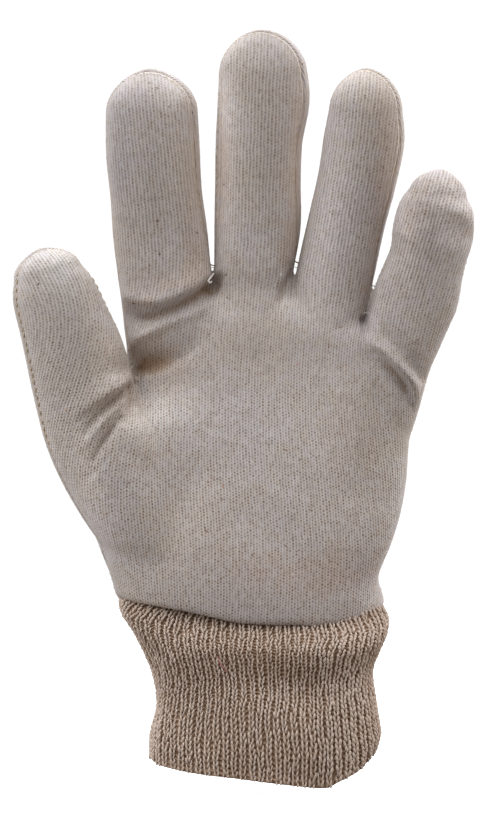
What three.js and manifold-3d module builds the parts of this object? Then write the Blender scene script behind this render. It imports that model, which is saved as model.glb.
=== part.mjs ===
// A cotton stockinet work glove with a ribbed knit wrist, in the rounded form that it has on a left hand.
// It is sewn from a palm panel and a back panel, with one seam round the outline of the hand, and the
// knit wrist is sewn inside their lower edge. Millimetres, +Z towards the fingertips, +X towards the
// little finger, -Y out of the palm, and the origin at the centre of the wrist opening.
import * as THREE from "three";
import { mergeVertices } from "three/addons/utils/BufferGeometryUtils.js";
import Module from "manifold-3d";

const wasm = await Module();
wasm.setup();

// Driving dimensions.
const clothThickness = 1.8;
const knitThickness = 2.2;
const gap = 0.3; // between two sewn pieces
const ribCount = 76;
const ribRelief = 1.1; // from groove to crest

// Points round each ring, and how far a ring may stand off its neighbours' line before it is needed.
const outside = { digitSides: 12, palmSides: 30, tolerance: 0.35 };
const inside = { digitSides: 8, palmSides: 24, tolerance: 0.7 };
const digitSquareness = 2.25;
const palmSquareness = 2.5;

// Sections of the digits from root to tip: centre, then width and depth across the digit.
// tip is the length of the rounded end past the last row. seamForward and seamTwist set the seam behind
// the middle of the digit where they are positive, the twist on its +X side and the other way on -X.
const digits = {
  thumb: {
    tip: 14.4, seamForward: -1.5, seamTwist: 3,
    rows: [
      { x: -31, y: -5, z: 76, width: 32, depth: 33 },
      { x: -41, y: -6, z: 88, width: 34, depth: 33 },
      { x: -49.6, y: -7.5, z: 102, width: 34.6, depth: 31 },
      { x: -55.6, y: -9.5, z: 114, width: 33.6, depth: 29 },
      { x: -59.4, y: -11.5, z: 127, width: 32.6, depth: 27 },
      { x: -62.4, y: -13.5, z: 139, width: 32, depth: 25.5 },
      { x: -65.8, y: -15, z: 150, width: 31, depth: 24.5 },
      { x: -69.1, y: -16, z: 160, width: 28, depth: 23 },
    ],
  },
  index: {
    tip: 14.6, seamForward: -1.8, seamTwist: -2.2,
    rows: [
      { x: -27.5, y: 0, z: 124, width: 29, depth: 23 },
      { x: -29.2, y: -0.5, z: 136, width: 30.2, depth: 24.5 },
      { x: -30.6, y: -1.5, z: 147, width: 30.6, depth: 25 },
      { x: -31.7, y: -3, z: 158, width: 30.8, depth: 24 },
      { x: -33.1, y: -5, z: 169, width: 31, depth: 22 },
      { x: -34.3, y: -6.5, z: 180, width: 31.2, depth: 21 },
      { x: -35.5, y: -8.5, z: 192, width: 30.3, depth: 20.5 },
      { x: -36.5, y: -10, z: 205, width: 31, depth: 20 },
      { x: -36.9, y: -11, z: 218.8, width: 30.4, depth: 19.5 },
    ],
  },
  middle: {
    tip: 15.3, seamForward: -2, seamTwist: -2.5,
    rows: [
      { x: -3.5, y: 0, z: 132, width: 26, depth: 21 },
      { x: -3.6, y: -0.5, z: 146, width: 27.5, depth: 23 },
      { x: -3.1, y: -1, z: 158, width: 27.4, depth: 23 },
      { x: -2.9, y: -2, z: 168, width: 27.2, depth: 22 },
      { x: -2.1, y: -3, z: 182, width: 28.6, depth: 21 },
      { x: -2, y: -4, z: 196, width: 28.3, depth: 20.5 },
      { x: -1.6, y: -5, z: 210, width: 28.7, depth: 20 },
      { x: -0.1, y: -5.5, z: 223, width: 30.4, depth: 19.5 },
      { x: -0.3, y: -6, z: 231, width: 29.4, depth: 19 },
    ],
  },
  ring: {
    tip: 14.4, seamForward: -2, seamTwist: -2.5,
    rows: [
      { x: 15.5, y: 0, z: 128, width: 24, depth: 20 },
      { x: 19, y: -0.5, z: 142, width: 25.5, depth: 22 },
      { x: 21.8, y: -1, z: 155, width: 25.4, depth: 22 },
      { x: 24.2, y: -2, z: 168, width: 25.2, depth: 21 },
      { x: 27.3, y: -3, z: 183, width: 25.4, depth: 20 },
      { x: 30.7, y: -4, z: 197, width: 26, depth: 19.5 },
      { x: 33, y: -5, z: 210, width: 26.8, depth: 19 },
      { x: 33.5, y: -6, z: 219.3, width: 24.4, depth: 18 },
    ],
  },
  little: {
    tip: 16.4, seamForward: 2, seamTwist: 0,
    rows: [
      { x: 34, y: 0, z: 108, width: 24, depth: 20 },
      { x: 38.4, y: -0.5, z: 122, width: 25, depth: 22 },
      { x: 42.6, y: -2, z: 137, width: 25, depth: 22 },
      { x: 46.5, y: -4, z: 148, width: 26.4, depth: 21 },
      { x: 50.4, y: -6, z: 159, width: 27.8, depth: 20 },
      { x: 53.9, y: -8, z: 171, width: 25.4, depth: 19 },
      { x: 55.4, y: -10, z: 178, width: 26.8, depth: 18.5 },
      { x: 56, y: -11, z: 184, width: 26.2, depth: 17.5 },
    ],
  },
};

// Rings of the palm from the wrist edge up to the webs: both ends of the ring, its front and back, and how
// far the middle of its front and of its back stands above the line between the ends.
const palmRows = [
  { left: -48.1, leftZ: 57.5, right: 40.1, rightZ: 56, front: -22, back: 21, frontRise: -6.2, backRise: 2 },
  { left: -49.4, leftZ: 62, right: 38.9, rightZ: 61, front: -23, back: 21, frontRise: -5.5, backRise: 2 },
  { left: -50.8, leftZ: 67, right: 37.8, rightZ: 66.5, front: -23.4, back: 20.5, frontRise: -4.5, backRise: 2 },
  { left: -54.6, leftZ: 76.6, right: 41.9, rightZ: 76.6, front: -23.4, back: 19, frontRise: -2, backRise: 1 },
  { left: -57.5, leftZ: 87, right: 45.1, rightZ: 87, front: -22, back: 17.5, frontRise: 0, backRise: 0 },
  { left: -56, leftZ: 97.5, right: 47, rightZ: 98, front: -20, back: 16, frontRise: 1, backRise: 1 },
  { left: -51, leftZ: 107, right: 47.6, rightZ: 107, front: -17.8, back: 15, frontRise: 3, backRise: 3 },
  { left: -47.5, leftZ: 115.5, right: 48.6, rightZ: 115, front: -16, back: 14.2, frontRise: 6, backRise: 6 },
  { left: -45.5, leftZ: 124, right: 50.4, rightZ: 120.5, front: -14.6, back: 13.5, frontRise: 10, backRise: 10 },
  { left: -45, leftZ: 132, right: 51.4, rightZ: 124, front: -13.4, back: 12.8, frontRise: 15, backRise: 15 },
  { left: -45, leftZ: 139, right: 51.2, rightZ: 126.5, front: -11.8, back: 11.6, frontRise: 20, backRise: 20 },
  { left: -44.6, leftZ: 143.5, right: 50.2, rightZ: 128, front: -8.6, back: 9, frontRise: 23.5, backRise: 23.5 },
  { left: -44, leftZ: 145.5, right: 49.4, rightZ: 128.6, front: -4.2, back: 5, frontRise: 25, backRise: 25 },
];

// Rings of the knit wrist below the hand, in the same way. skew lowers the front on its +X side.
const wristRows = [
  { left: -47.6, leftZ: 56.5, right: 40.3, rightZ: 55, front: -21.8, back: 20.8, frontRise: -6.2, backRise: 2, skew: 0 },
  { left: -43.4, leftZ: 48.2, right: 41.4, rightZ: 47, front: -25, back: 23.6, frontRise: -5, backRise: 0, skew: 0 },
  { left: -39.8, leftZ: 42, right: 39, rightZ: 42, front: -24.6, back: 24, frontRise: -4, backRise: 0, skew: 0 },
  { left: -37, leftZ: 34.5, right: 35.3, rightZ: 34.5, front: -24, back: 24, frontRise: -3, backRise: 0, skew: 0 },
  { left: -36, leftZ: 24, right: 37, rightZ: 24, front: -25.5, back: 25.5, frontRise: -2, backRise: -1, skew: -1 },
  { left: -37.9, leftZ: 14, right: 38.7, rightZ: 15, front: -26.5, back: 26.5, frontRise: -6, backRise: -1, skew: -2 },
  { left: -38, leftZ: 5.8, right: 37, rightZ: 8.2, front: -26, back: 26, frontRise: -9, backRise: -1, skew: -3 },
];

// Folds of the cloth on the palm side: a path of three points seen from the front, how far the cloth stands
// out of the hand along it, or in where that is negative, and how far to each side the fold reaches.
const handFolds = [
  { x0: -45, z0: 152, x1: -31, z1: 155, x2: -18, z2: 161, out: 1.9, reach: 4.2 }, // roll at the index root
  { x0: -42, z0: 144.5, x1: -31, z1: 148.5, x2: -17, z2: 158, out: -3, reach: 3.6 },
  { x0: -46, z0: 142, x1: -34, z1: 147, x2: -23, z2: 154.5, out: 1.4, reach: 3.2 },
  { x0: -45, z0: 133, x1: -34, z1: 137, x2: -25, z2: 142, out: -2.6, reach: 4.4 },
  { x0: -41, z0: 124, x1: -35, z1: 120, x2: -27, z2: 116, out: 1.4, reach: 7 },
  { x0: -44, z0: 130.5, x1: -50, z1: 125.5, x2: -57, z2: 121.5, out: 1.4, reach: 3.2 }, // roll of the thumb
  { x0: -44, z0: 127, x1: -50, z1: 122, x2: -56, z2: 118.5, out: -2.4, reach: 2.8 },
  { x0: -45, z0: 125, x1: -50, z1: 115, x2: -56, z2: 106, out: -2, reach: 2.6 },
  { x0: 34, z0: 147, x1: 42, z1: 139, x2: 50.5, z2: 128, out: 2, reach: 2.8 }, // roll at the little root
  { x0: 38.5, z0: 140.5, x1: 44.5, z1: 133.5, x2: 48.5, z2: 124, out: -2.4, reach: 3 },
  { x0: 55, z0: 180, x1: 61, z1: 178.5, x2: 67, z2: 176, out: 0.9, reach: 3.4 }, // bend of the little finger
];
const wristFolds = [
  { x0: 0, z0: 38.5, x1: 18, z1: 40, x2: 37, z2: 36, out: -2.2, reach: 5.5 },
  { x0: -30, z0: 47, x1: -36, z1: 42, x2: -38, z2: 34, out: -1, reach: 5 },
];

// How far a point of the surface is moved by the folds. They fade where the surface turns to the side.
function foldRelief(folds, point, normal) {
  const facing = THREE.MathUtils.smoothstep(-normal.y, 0, 0.5);
  const here = new THREE.Vector3(point.x, 0, point.z);
  const nearest = new THREE.Vector3();
  const span = new THREE.Line3();
  let relief = 0;
  for (const fold of folds) {
    const path = [
      new THREE.Vector3(fold.x0, 0, fold.z0),
      new THREE.Vector3(fold.x1, 0, fold.z1),
      new THREE.Vector3(fold.x2, 0, fold.z2),
    ];
    const away = Math.min(
      ...[0, 1].map((i) => span.set(path[i], path[i + 1]).closestPointToPoint(here, true, nearest).distanceTo(here)),
    );
    relief += fold.out * Math.exp(-((away / fold.reach) ** 2));
  }
  return relief * facing;
}

// A row of a table at any place between its rows, with every column on a smooth curve.
function rowAt(rows, place) {
  const i = Math.min(Math.floor(place), rows.length - 2);
  const [before, from, to, after] = [rows[Math.max(i - 1, 0)], rows[i], rows[i + 1], rows[i + 2] ?? rows[i + 1]];
  const t = place - i;
  const smooth = (a, b, c, d) =>
    b + (t * (c - a + t * (2 * a - 5 * b + 4 * c - d + t * (3 * (b - c) + d - a)))) / 2;
  return Object.fromEntries(Object.keys(from).map((key) => [key, smooth(before[key], from[key], to[key], after[key])]));
}

function rowsBetween(rows, steps) {
  return Array.from({ length: (rows.length - 1) * steps + 1 }, (_, i) => rowAt(rows, i / steps));
}

const middleOf = (ring) => ring.reduce((sum, p) => sum.add(p), new THREE.Vector3()).divideScalar(ring.length);

// A tube is a list of rings of points, with the middle of its first and last ring's end. Its normals come
// from the neighbours of each point on the ring and along the tube.
function normalAt(tube, i, j) {
  const ring = tube.rings[i];
  const sides = ring.length;
  const around = ring[(j + 1) % sides].clone().sub(ring[(j + sides - 1) % sides]);
  const above = tube.rings[Math.min(i + 1, tube.rings.length - 1)][j];
  const below = tube.rings[Math.max(i - 1, 0)][j];
  return around.cross(above.clone().sub(below)).normalize();
}

// The tube with every point moved along its normal. move is given the point and the normal.
function swollen(tube, move, endShift = 0) {
  const along = tube.end.clone().sub(middleOf(tube.rings.at(-1))).normalize();
  return {
    start: tube.start,
    end: tube.end.clone().addScaledVector(along, endShift),
    rings: tube.rings.map((ring, i) =>
      ring.map((point, j) => {
        const normal = normalAt(tube, i, j);
        return point.clone().addScaledVector(normal, move(point, normal));
      }),
    ),
  };
}

// The tube without the rings that lie within a tolerance of the straight lines between others.
function thinned(tube, tolerance) {
  const nearest = new THREE.Vector3();
  const isStraight = (first, last) =>
    tube.rings.slice(first + 1, last).every((ring) =>
      ring.every((point, j) => {
        const line = new THREE.Line3(tube.rings[first][j], tube.rings[last][j]);
        return line.closestPointToPoint(point, true, nearest).distanceTo(point) < tolerance;
      }),
    );
  const kept = [0];
  for (let i = 2; i < tube.rings.length; i++) {
    if (!isStraight(kept.at(-1), i)) kept.push(i - 1);
  }
  return { ...tube, rings: [...kept, tube.rings.length - 1].map((i) => tube.rings[i]) };
}

// The tube with a straight length more at either end, so that a cut with it leaves that end open.
function lengthened(tube, below, above) {
  const shifted = (ring, height) => ring.map((point) => point.clone().setZ(point.z + height));
  const rings = [shifted(tube.rings[0], -below), ...tube.rings];
  if (above) rings.push(shifted(rings.at(-1), above));
  return { ...tubeOf(rings), ...(above ? {} : { end: tube.end }) };
}

// The closed body through a list of rings, each a ring of any number of points or a single point. Between
// two rings, each triangle steps on along the ring that is behind. A looped list ends where it began.
function bodyThrough(rings, isLooped = false) {
  const starts = rings.map((_, i) => rings.slice(0, i).reduce((sum, ring) => sum + ring.length, 0));
  const faces = [];
  for (let i = isLooped ? 0 : 1; i < rings.length; i++) {
    const [from, to] = [(i || rings.length) - 1, i];
    const [low, high] = [rings[from].length, rings[to].length];
    const lowAt = (k) => starts[from] + (k % low);
    const highAt = (k) => starts[to] + (k % high);
    let [a, b] = [0, 0];
    while (a < low || b < high) {
      const stepsLow = b === high || (a < low && (a + 1) * high <= (b + 1) * low);
      if (stepsLow && low > 1) faces.push(lowAt(a), lowAt(a + 1), highAt(b));
      if (!stepsLow && high > 1) faces.push(lowAt(a), highAt(b + 1), highAt(b));
      if (stepsLow) a++;
      else b++;
    }
  }
  const geometry = new THREE.BufferGeometry().setFromPoints(rings.flat());
  geometry.setIndex(faces);
  return solidOf(geometry);
}

const bodyOf = (tube) => bodyThrough([[tube.start], ...tube.rings, [tube.end]]);

function solidOf(geometry) {
  geometry.deleteAttribute("normal");
  geometry.deleteAttribute("uv");
  const merged = mergeVertices(geometry, 1e-4);
  return new wasm.Manifold(
    new wasm.Mesh({
      numProp: 3,
      vertProperties: merged.attributes.position.array,
      triVerts: new Uint32Array(merged.index.array),
    }),
  );
}

// The cosine or sine of an angle on a rounded square: a squareness of 2 is a circle.
const squared = (value, squareness) => Math.sign(value) * Math.abs(value) ** (2 / squareness);

// One digit: rings across a smooth line through the centres of its rows, then the rounded end.
function digitTube(digit, sides) {
  const rows = rowsBetween(digit.rows, 4);
  const centre = (row) => new THREE.Vector3(row.x, row.y, row.z);
  const ringAt = (middle, axis, width, depth) => {
    const front = new THREE.Vector3(0, -1, 0).projectOnPlane(axis).normalize();
    const side = new THREE.Vector3().crossVectors(axis, front);
    return Array.from({ length: sides }, (_, j) => {
      const angle = (2 * Math.PI * j) / sides;
      return middle
        .clone()
        .addScaledVector(side, (width / 2) * squared(Math.cos(angle), digitSquareness))
        .addScaledVector(front, -(depth / 2) * squared(Math.sin(angle), digitSquareness));
    });
  };
  const axisAt = (i) =>
    centre(rows[Math.min(i + 1, rows.length - 1)]).sub(centre(rows[Math.max(i - 1, 0)])).normalize();
  const rings = rows.map((row, i) => ringAt(centre(row), axisAt(i), row.width, row.depth));
  const last = rows.at(-1);
  const axis = axisAt(rows.length - 1);
  for (const turn of [0.4, 0.75, 1.05, 1.3]) {
    const size = Math.cos(turn) ** 1.12;
    const middle = centre(last).addScaledVector(axis, digit.tip * Math.sin(turn));
    rings.push(ringAt(middle, axis, last.width * size, last.depth * size));
  }
  return { rings, start: centre(rows[0]), end: centre(last).addScaledVector(axis, digit.tip) };
}

// One ring of the palm or the knit wrist, in points evenly spaced round it.
function wristRing(row, sides) {
  const curve = new THREE.CatmullRomCurve3(
    Array.from({ length: 72 }, (_, j) => {
      const angle = (2 * Math.PI * (j + 0.5)) / 72;
      const across = (squared(Math.cos(angle), palmSquareness) + 1) / 2;
      const out = squared(Math.sin(angle), palmSquareness);
      const rise = out < 0 ? row.frontRise : row.backRise;
      const skew = out < 0 ? (row.skew ?? 0) * Math.sin(2 * angle) : 0;
      return new THREE.Vector3(
        THREE.MathUtils.lerp(row.left, row.right, across),
        (row.front + row.back) / 2 + (out * (row.back - row.front)) / 2,
        THREE.MathUtils.lerp(row.leftZ, row.rightZ, across) + rise * Math.abs(Math.sin(angle)) - skew,
      );
    }),
    true,
  );
  curve.arcLengthDivisions = 4 * sides;
  return curve.getSpacedPoints(sides).slice(0, sides);
}

const tubeOf = (rings) => ({ rings, start: middleOf(rings[0]), end: middleOf(rings.at(-1)) });
const palmTube = (sides) => tubeOf(rowsBetween(palmRows, 2).map((row) => wristRing(row, sides)));

// The height in Y of the seam between the panels, as a blend of the seam lines of the digits and the palm.
const seamGuides = [
  ...Object.values(digits).map((digit) => ({
    forward: digit.seamForward,
    twist: digit.seamTwist,
    line: new THREE.CatmullRomCurve3(digit.rows.map((row) => new THREE.Vector3(row.x, row.y, row.z))).getPoints(20),
    reach: digit.rows[4].width / 2,
  })),
  {
    forward: 0,
    twist: 0,
    line: [new THREE.Vector3(-4, -1, 40), new THREE.Vector3(-2, -2, 80), new THREE.Vector3(2, -1, 120)],
    reach: 40,
  },
];

function seamHeight(x, z) {
  let height = 0;
  let total = 0;
  for (const guide of seamGuides) {
    const away = (p) => Math.hypot(p.x - x, p.z - z);
    const nearest = guide.line.reduce((best, p) => (away(p) < away(best) ? p : best));
    const weight = Math.exp(-9 * (away(nearest) / guide.reach) ** 2) + 1e-9;
    const aside = THREE.MathUtils.clamp((x - nearest.x) / guide.reach, -1.2, 1.2);
    height += weight * (nearest.y + guide.forward + guide.twist * aside);
    total += weight;
  }
  return height / total;
}

// Everything in front of the seam, with the seam itself moved back by shift.
function palmSide(shift) {
  const size = { width: 180, depth: 80, height: 290, across: 18, up: 12 };
  const box = new THREE.BoxGeometry(
    size.width, size.depth, size.height, size.across, 1, size.up,
  );
  box.translate(-5, -size.depth / 2, 110);
  const at = box.attributes.position;
  for (let i = 0; i < at.count; i++) {
    if (at.getY(i) > -1) at.setY(i, seamHeight(at.getX(i), at.getZ(i)) + shift);
  }
  return solidOf(box);
}

const largest = (solid) => solid.decompose().reduce((a, b) => (b.volume() > a.volume() ? b : a));

// The palm and the digits, each as a tube with its folds. inward is how far their surface is drawn in.
function handTubes({ palmSides, digitSides, tolerance }, inward = 0) {
  return [palmTube(palmSides), ...Object.values(digits).map((digit) => digitTube(digit, digitSides))].map((tube) => {
    const folded = swollen(tube, (point, normal) => foldRelief(handFolds, point, normal));
    return thinned(swollen(folded, () => -inward, -inward), tolerance);
  });
}

const joined = (tubes) => tubes.map(bodyOf).reduce((a, b) => a.add(b));

// The hand's wall, which is open at the wrist edge.
function handWall() {
  const [palm, ...rest] = handTubes(inside, clothThickness);
  return joined(handTubes(outside)).subtract(joined([lengthened(palm, 8, 0), ...rest]));
}

// The knit wrist: a ribbed tube below the hand, with a plain collar that is tucked inside it.
function knitWrist() {
  const grow = (tube) => swollen(tube, (point, normal) => foldRelief(wristFolds, point, normal));
  const ringsUp = (sides) => wristRows.map((row) => wristRing(row, sides)).reverse();
  const [edge, , tucked] = swollen(palmTube(inside.palmSides), () => -clothThickness - 3 * gap).rings;
  const rim = edge.map((point) => point.clone().setZ(point.z - 3 * gap));

  const smooth = grow(tubeOf(ringsUp(2 * ribCount)));
  const ribbed = smooth.rings.map((ring, i) =>
    ring.map((point, j) => point.clone().addScaledVector(normalAt(smooth, i, j), j % 2 ? -ribRelief : 0)),
  );
  const bore = swollen(grow(tubeOf([...ringsUp(inside.palmSides), rim, tucked])), () => -knitThickness).rings;
  return bodyThrough([...ribbed, rim, tucked, ...bore.reverse()], true);
}

function meshOf(name, solid, material) {
  const { vertProperties, triVerts } = solid.getMesh();
  const geometry = new THREE.BufferGeometry();
  geometry.setAttribute("position", new THREE.BufferAttribute(vertProperties, 3));
  geometry.setIndex(new THREE.BufferAttribute(triVerts, 1));
  geometry.computeVertexNormals();
  const mesh = new THREE.Mesh(geometry, material);
  mesh.name = name;
  return mesh;
}

const stockinet = new THREE.MeshStandardMaterial({ color: 0xd2c7ba, roughness: 0.95, metalness: 0 });
const ribKnit = new THREE.MeshStandardMaterial({ color: 0xa8957f, roughness: 0.95, metalness: 0 });

const wall = handWall();
const glove = new THREE.Group();
glove.add(
  meshOf("palm_panel", largest(wall.intersect(palmSide(-gap / 2))), stockinet),
  meshOf("back_panel", largest(wall.subtract(palmSide(gap / 2))), stockinet),
  meshOf("knit_wrist", largest(knitWrist()), ribKnit),
);

export default glove;
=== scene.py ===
# A cotton stockinet work glove with a rib-knit wrist, upright, seen from the palm side.
# Tables are in millimetres: x towards the little finger, y towards the back of the hand, z towards the
# fingertips.
import math
import bpy
import numpy as np
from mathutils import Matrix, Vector
from mathutils.bvhtree import BVHTree
from mathutils.kdtree import KDTree


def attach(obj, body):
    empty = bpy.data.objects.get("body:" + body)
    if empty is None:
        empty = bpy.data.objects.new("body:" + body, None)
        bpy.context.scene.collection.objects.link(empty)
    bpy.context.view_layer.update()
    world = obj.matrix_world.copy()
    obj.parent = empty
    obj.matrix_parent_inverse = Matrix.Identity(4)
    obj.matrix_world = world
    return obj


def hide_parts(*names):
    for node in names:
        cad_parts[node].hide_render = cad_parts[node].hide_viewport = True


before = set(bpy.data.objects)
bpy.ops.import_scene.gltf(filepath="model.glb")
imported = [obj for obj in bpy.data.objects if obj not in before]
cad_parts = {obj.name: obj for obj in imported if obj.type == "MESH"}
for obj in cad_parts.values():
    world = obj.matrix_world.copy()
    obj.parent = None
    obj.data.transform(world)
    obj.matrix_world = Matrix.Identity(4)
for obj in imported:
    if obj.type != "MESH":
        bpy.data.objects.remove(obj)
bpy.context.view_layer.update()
bpy.ops.object.select_all(action="DESELECT")
mm = 0.001
towardsViewer = np.array([0.0, -1.0, 0.0])

# the camera, the light and the floor

studio = {
    "lens": 400,
    "sensor": 36,           # millimetres, as the camera has it
    "target": (-4.6, 0, 120.3),
    "viewHeight": 271.6,
    "floorLevel": -5.5,
    "floorSize": 6,         # metres
    "floorGlow": 0.85,
    "backdrop": 1.05,       # how bright it is behind the glove
    # soft boxes round the glove: direction, strength, and how much cooler than white
    "softBoxes": [
        (0, 0, 1, 2.15, 0.08), (0, -0.57, 0.82, 0.14, -0.3), (0.5, -0.29, 0.82, 0.11, -0.3),
        (0.5, 0.29, 0.82, 1.03, 0.03), (0, 0.57, 0.82, 0.25, 0.03), (-0.5, 0.29, 0.82, 0.8, 0.07),
        (-0.5, -0.29, 0.82, 1.35, 0.1), (0.9, 0, 0.42, 0.66, -0.03), (0.64, 0.64, 0.42, 0.9, 0.02),
        (-0.64, 0.64, 0.42, 0.25, -0.1), (-0.9, 0, 0.42, 0.22, 0.08), (-0.64, -0.64, 0.42, 0.7, 0.04),
        (0.98, 0, -0.17, 0.49, 0.02), (0.7, 0.7, -0.17, 0.88, 0.05), (-0.7, 0.7, -0.17, 0.15, -0.2),
        (-0.7, -0.7, -0.17, 0.2, -0.3), (0.64, 0, -0.77, 0.3, -0.25), (0, 0.64, -0.77, 0.15, 0),
        (-0.64, 0, -0.77, 0.85, 0.02)],
    "softness": 4,
}


def aimed(item, target):
    aim = Vector(target) * mm - item.location
    item.rotation_euler = aim.to_track_quat("-Z", "Y").to_euler()


# shader maths: a socket that adds and multiplies as a number does

class Shade:
    tree = None

    def __init__(self, socket):
        self.socket = socket

    def __add__(self, other):
        return maths("ADD", self, other)

    def __sub__(self, other):
        return maths("SUBTRACT", self, other)

    def __rsub__(self, other):
        return maths("SUBTRACT", other, self)

    def __mul__(self, other):
        return maths("MULTIPLY", self, other)

    def __pow__(self, other):
        return maths("POWER", self, other)

    __radd__ = __add__
    __rmul__ = __mul__


def node(kind, settings=None, sockets=None):
    made = Shade.tree.nodes.new(kind)
    for name, value in (settings or {}).items():
        setattr(made, name, value)
    for key, value in (sockets or {}).items():
        if isinstance(value, Shade):
            Shade.tree.links.new(value.socket, made.inputs[key])
        else:
            made.inputs[key].default_value = value
    return made


def maths(operation, *values):
    return Shade(node("ShaderNodeMath", {"operation": operation}, dict(enumerate(values))).outputs[0])


def between0and1(value):
    return maths("MINIMUM", maths("MAXIMUM", value, 0.0), 1.0)


def stepped(value, low, high):
    settings = {"interpolation_type": "SMOOTHSTEP"}
    sockets = {"Value": value, "From Min": low, "From Max": high}
    return Shade(node("ShaderNodeMapRange", settings, sockets).outputs["Result"])


def blended(factor, first, second, how="MIX"):
    sockets = {0: factor}
    for key, colour in ((6, first), (7, second)):
        sockets[key] = colour if isinstance(colour, Shade) else (*colour, 1)
    settings = {"data_type": "RGBA", "blend_type": how}
    return Shade(node("ShaderNodeMix", settings, sockets).outputs[2])


def dyed(colour, red, green, blue):
    return blended(1.0, colour, joined3(red, green, blue), "MULTIPLY")


def noise(place, scale, detail=2.0, roughness=0.5):
    sockets = {"Vector": place, "Scale": scale, "Detail": detail, "Roughness": roughness}
    return Shade(node("ShaderNodeTexNoise", None, sockets).outputs["Fac"])


def joined3(x, y, z):
    return Shade(node("ShaderNodeCombineXYZ", None, {0: x, 1: y, 2: z}).outputs[0])


def attribute(name):
    return Shade(node("ShaderNodeAttribute", {"attribute_name": name}).outputs["Vector"])


def split3(vector):
    made = node("ShaderNodeSeparateXYZ", None, {0: vector})
    return [Shade(made.outputs[i]) for i in range(3)]


def objectPlace():
    return Shade(node("ShaderNodeTexCoord").outputs["Object"])


def cosine(value):
    return maths("COSINE", value * (2 * math.pi)) * 0.5 + 0.5


def clothMaterial(colour, bump, roughness, sheen):
    sockets = {"Base Color": colour, "Roughness": roughness, "Normal": bump, "Sheen Weight": sheen,
               "Sheen Roughness": 0.4, "Sheen Tint": (1, 0.95, 0.88, 1), "Specular IOR Level": 0.2}
    shader = Shade(node("ShaderNodeBsdfPrincipled", None, sockets).outputs[0])
    node("ShaderNodeOutputMaterial", None, {"Surface": shader}).is_active_output = True


def newMaterial(name):
    material = bpy.data.materials.new(name)
    material.use_nodes = True
    material.node_tree.nodes.clear()
    Shade.tree = material.node_tree
    return material


def bumped(height, distance, strength=1.0):
    sockets = {"Height": height, "Distance": distance, "Strength": strength}
    return Shade(node("ShaderNodeBump", None, sockets).outputs["Normal"])


# meshes as arrays of points in millimetres

def pointsOf(piece):
    flat = np.empty(len(piece.data.vertices) * 3)
    piece.data.vertices.foreach_get("co", flat)
    return flat.reshape(-1, 3) / mm


def setPoints(piece, points):
    piece.data.vertices.foreach_set("co", (points * mm).ravel())
    piece.data.update()


def normalsOf(piece):
    flat = np.empty(len(piece.data.vertices) * 3, dtype=np.float32)
    piece.data.vertex_normals.foreach_get("vector", flat)
    return flat.reshape(-1, 3).astype(float)


def unit(vectors):
    return vectors / np.maximum(np.linalg.norm(vectors, axis=-1, keepdims=True), 1e-9)


# 0 to 1 with soft ends
def eased(part):
    part = np.clip(part, 0, 1)
    return part * part * (3 - 2 * part)


# the length of a line up to each of its points
def lengthsOf(steps):
    return np.concatenate([[0], np.cumsum(steps)])


def placesAlong(line, lengths, wanted):
    return np.stack([np.interp(wanted, lengths, line[:, i]) for i in range(3)], axis=-1)


# which of the equal steps round a circle a point is at
def stepRound(aside, ahead, count):
    return np.rint(np.arctan2(aside, ahead) / (2 * math.pi) * count).astype(int) % count


def select(*pieces):
    bpy.ops.object.select_all(action="DESELECT")
    for piece in pieces:
        piece.select_set(True)
    bpy.context.view_layer.objects.active = pieces[0]


def applied(piece, kind, **settings):
    select(piece)
    modifier = piece.modifiers.new(kind.title(), kind)
    for name, value in settings.items():
        setattr(modifier, name, value)
    bpy.ops.object.modifier_apply(modifier=modifier.name)


def finished(piece, material):
    piece.data.materials.append(material)
    select(piece)
    bpy.ops.object.shade_smooth()
    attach(piece, "root")


def storePoints(piece, name, vectors):
    made = piece.data.attributes.new(name, "FLOAT_VECTOR", "POINT")
    made.data.foreach_set("vector", vectors.astype(np.float32).ravel())


# the form of the hand, from the same sections as the solids

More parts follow.
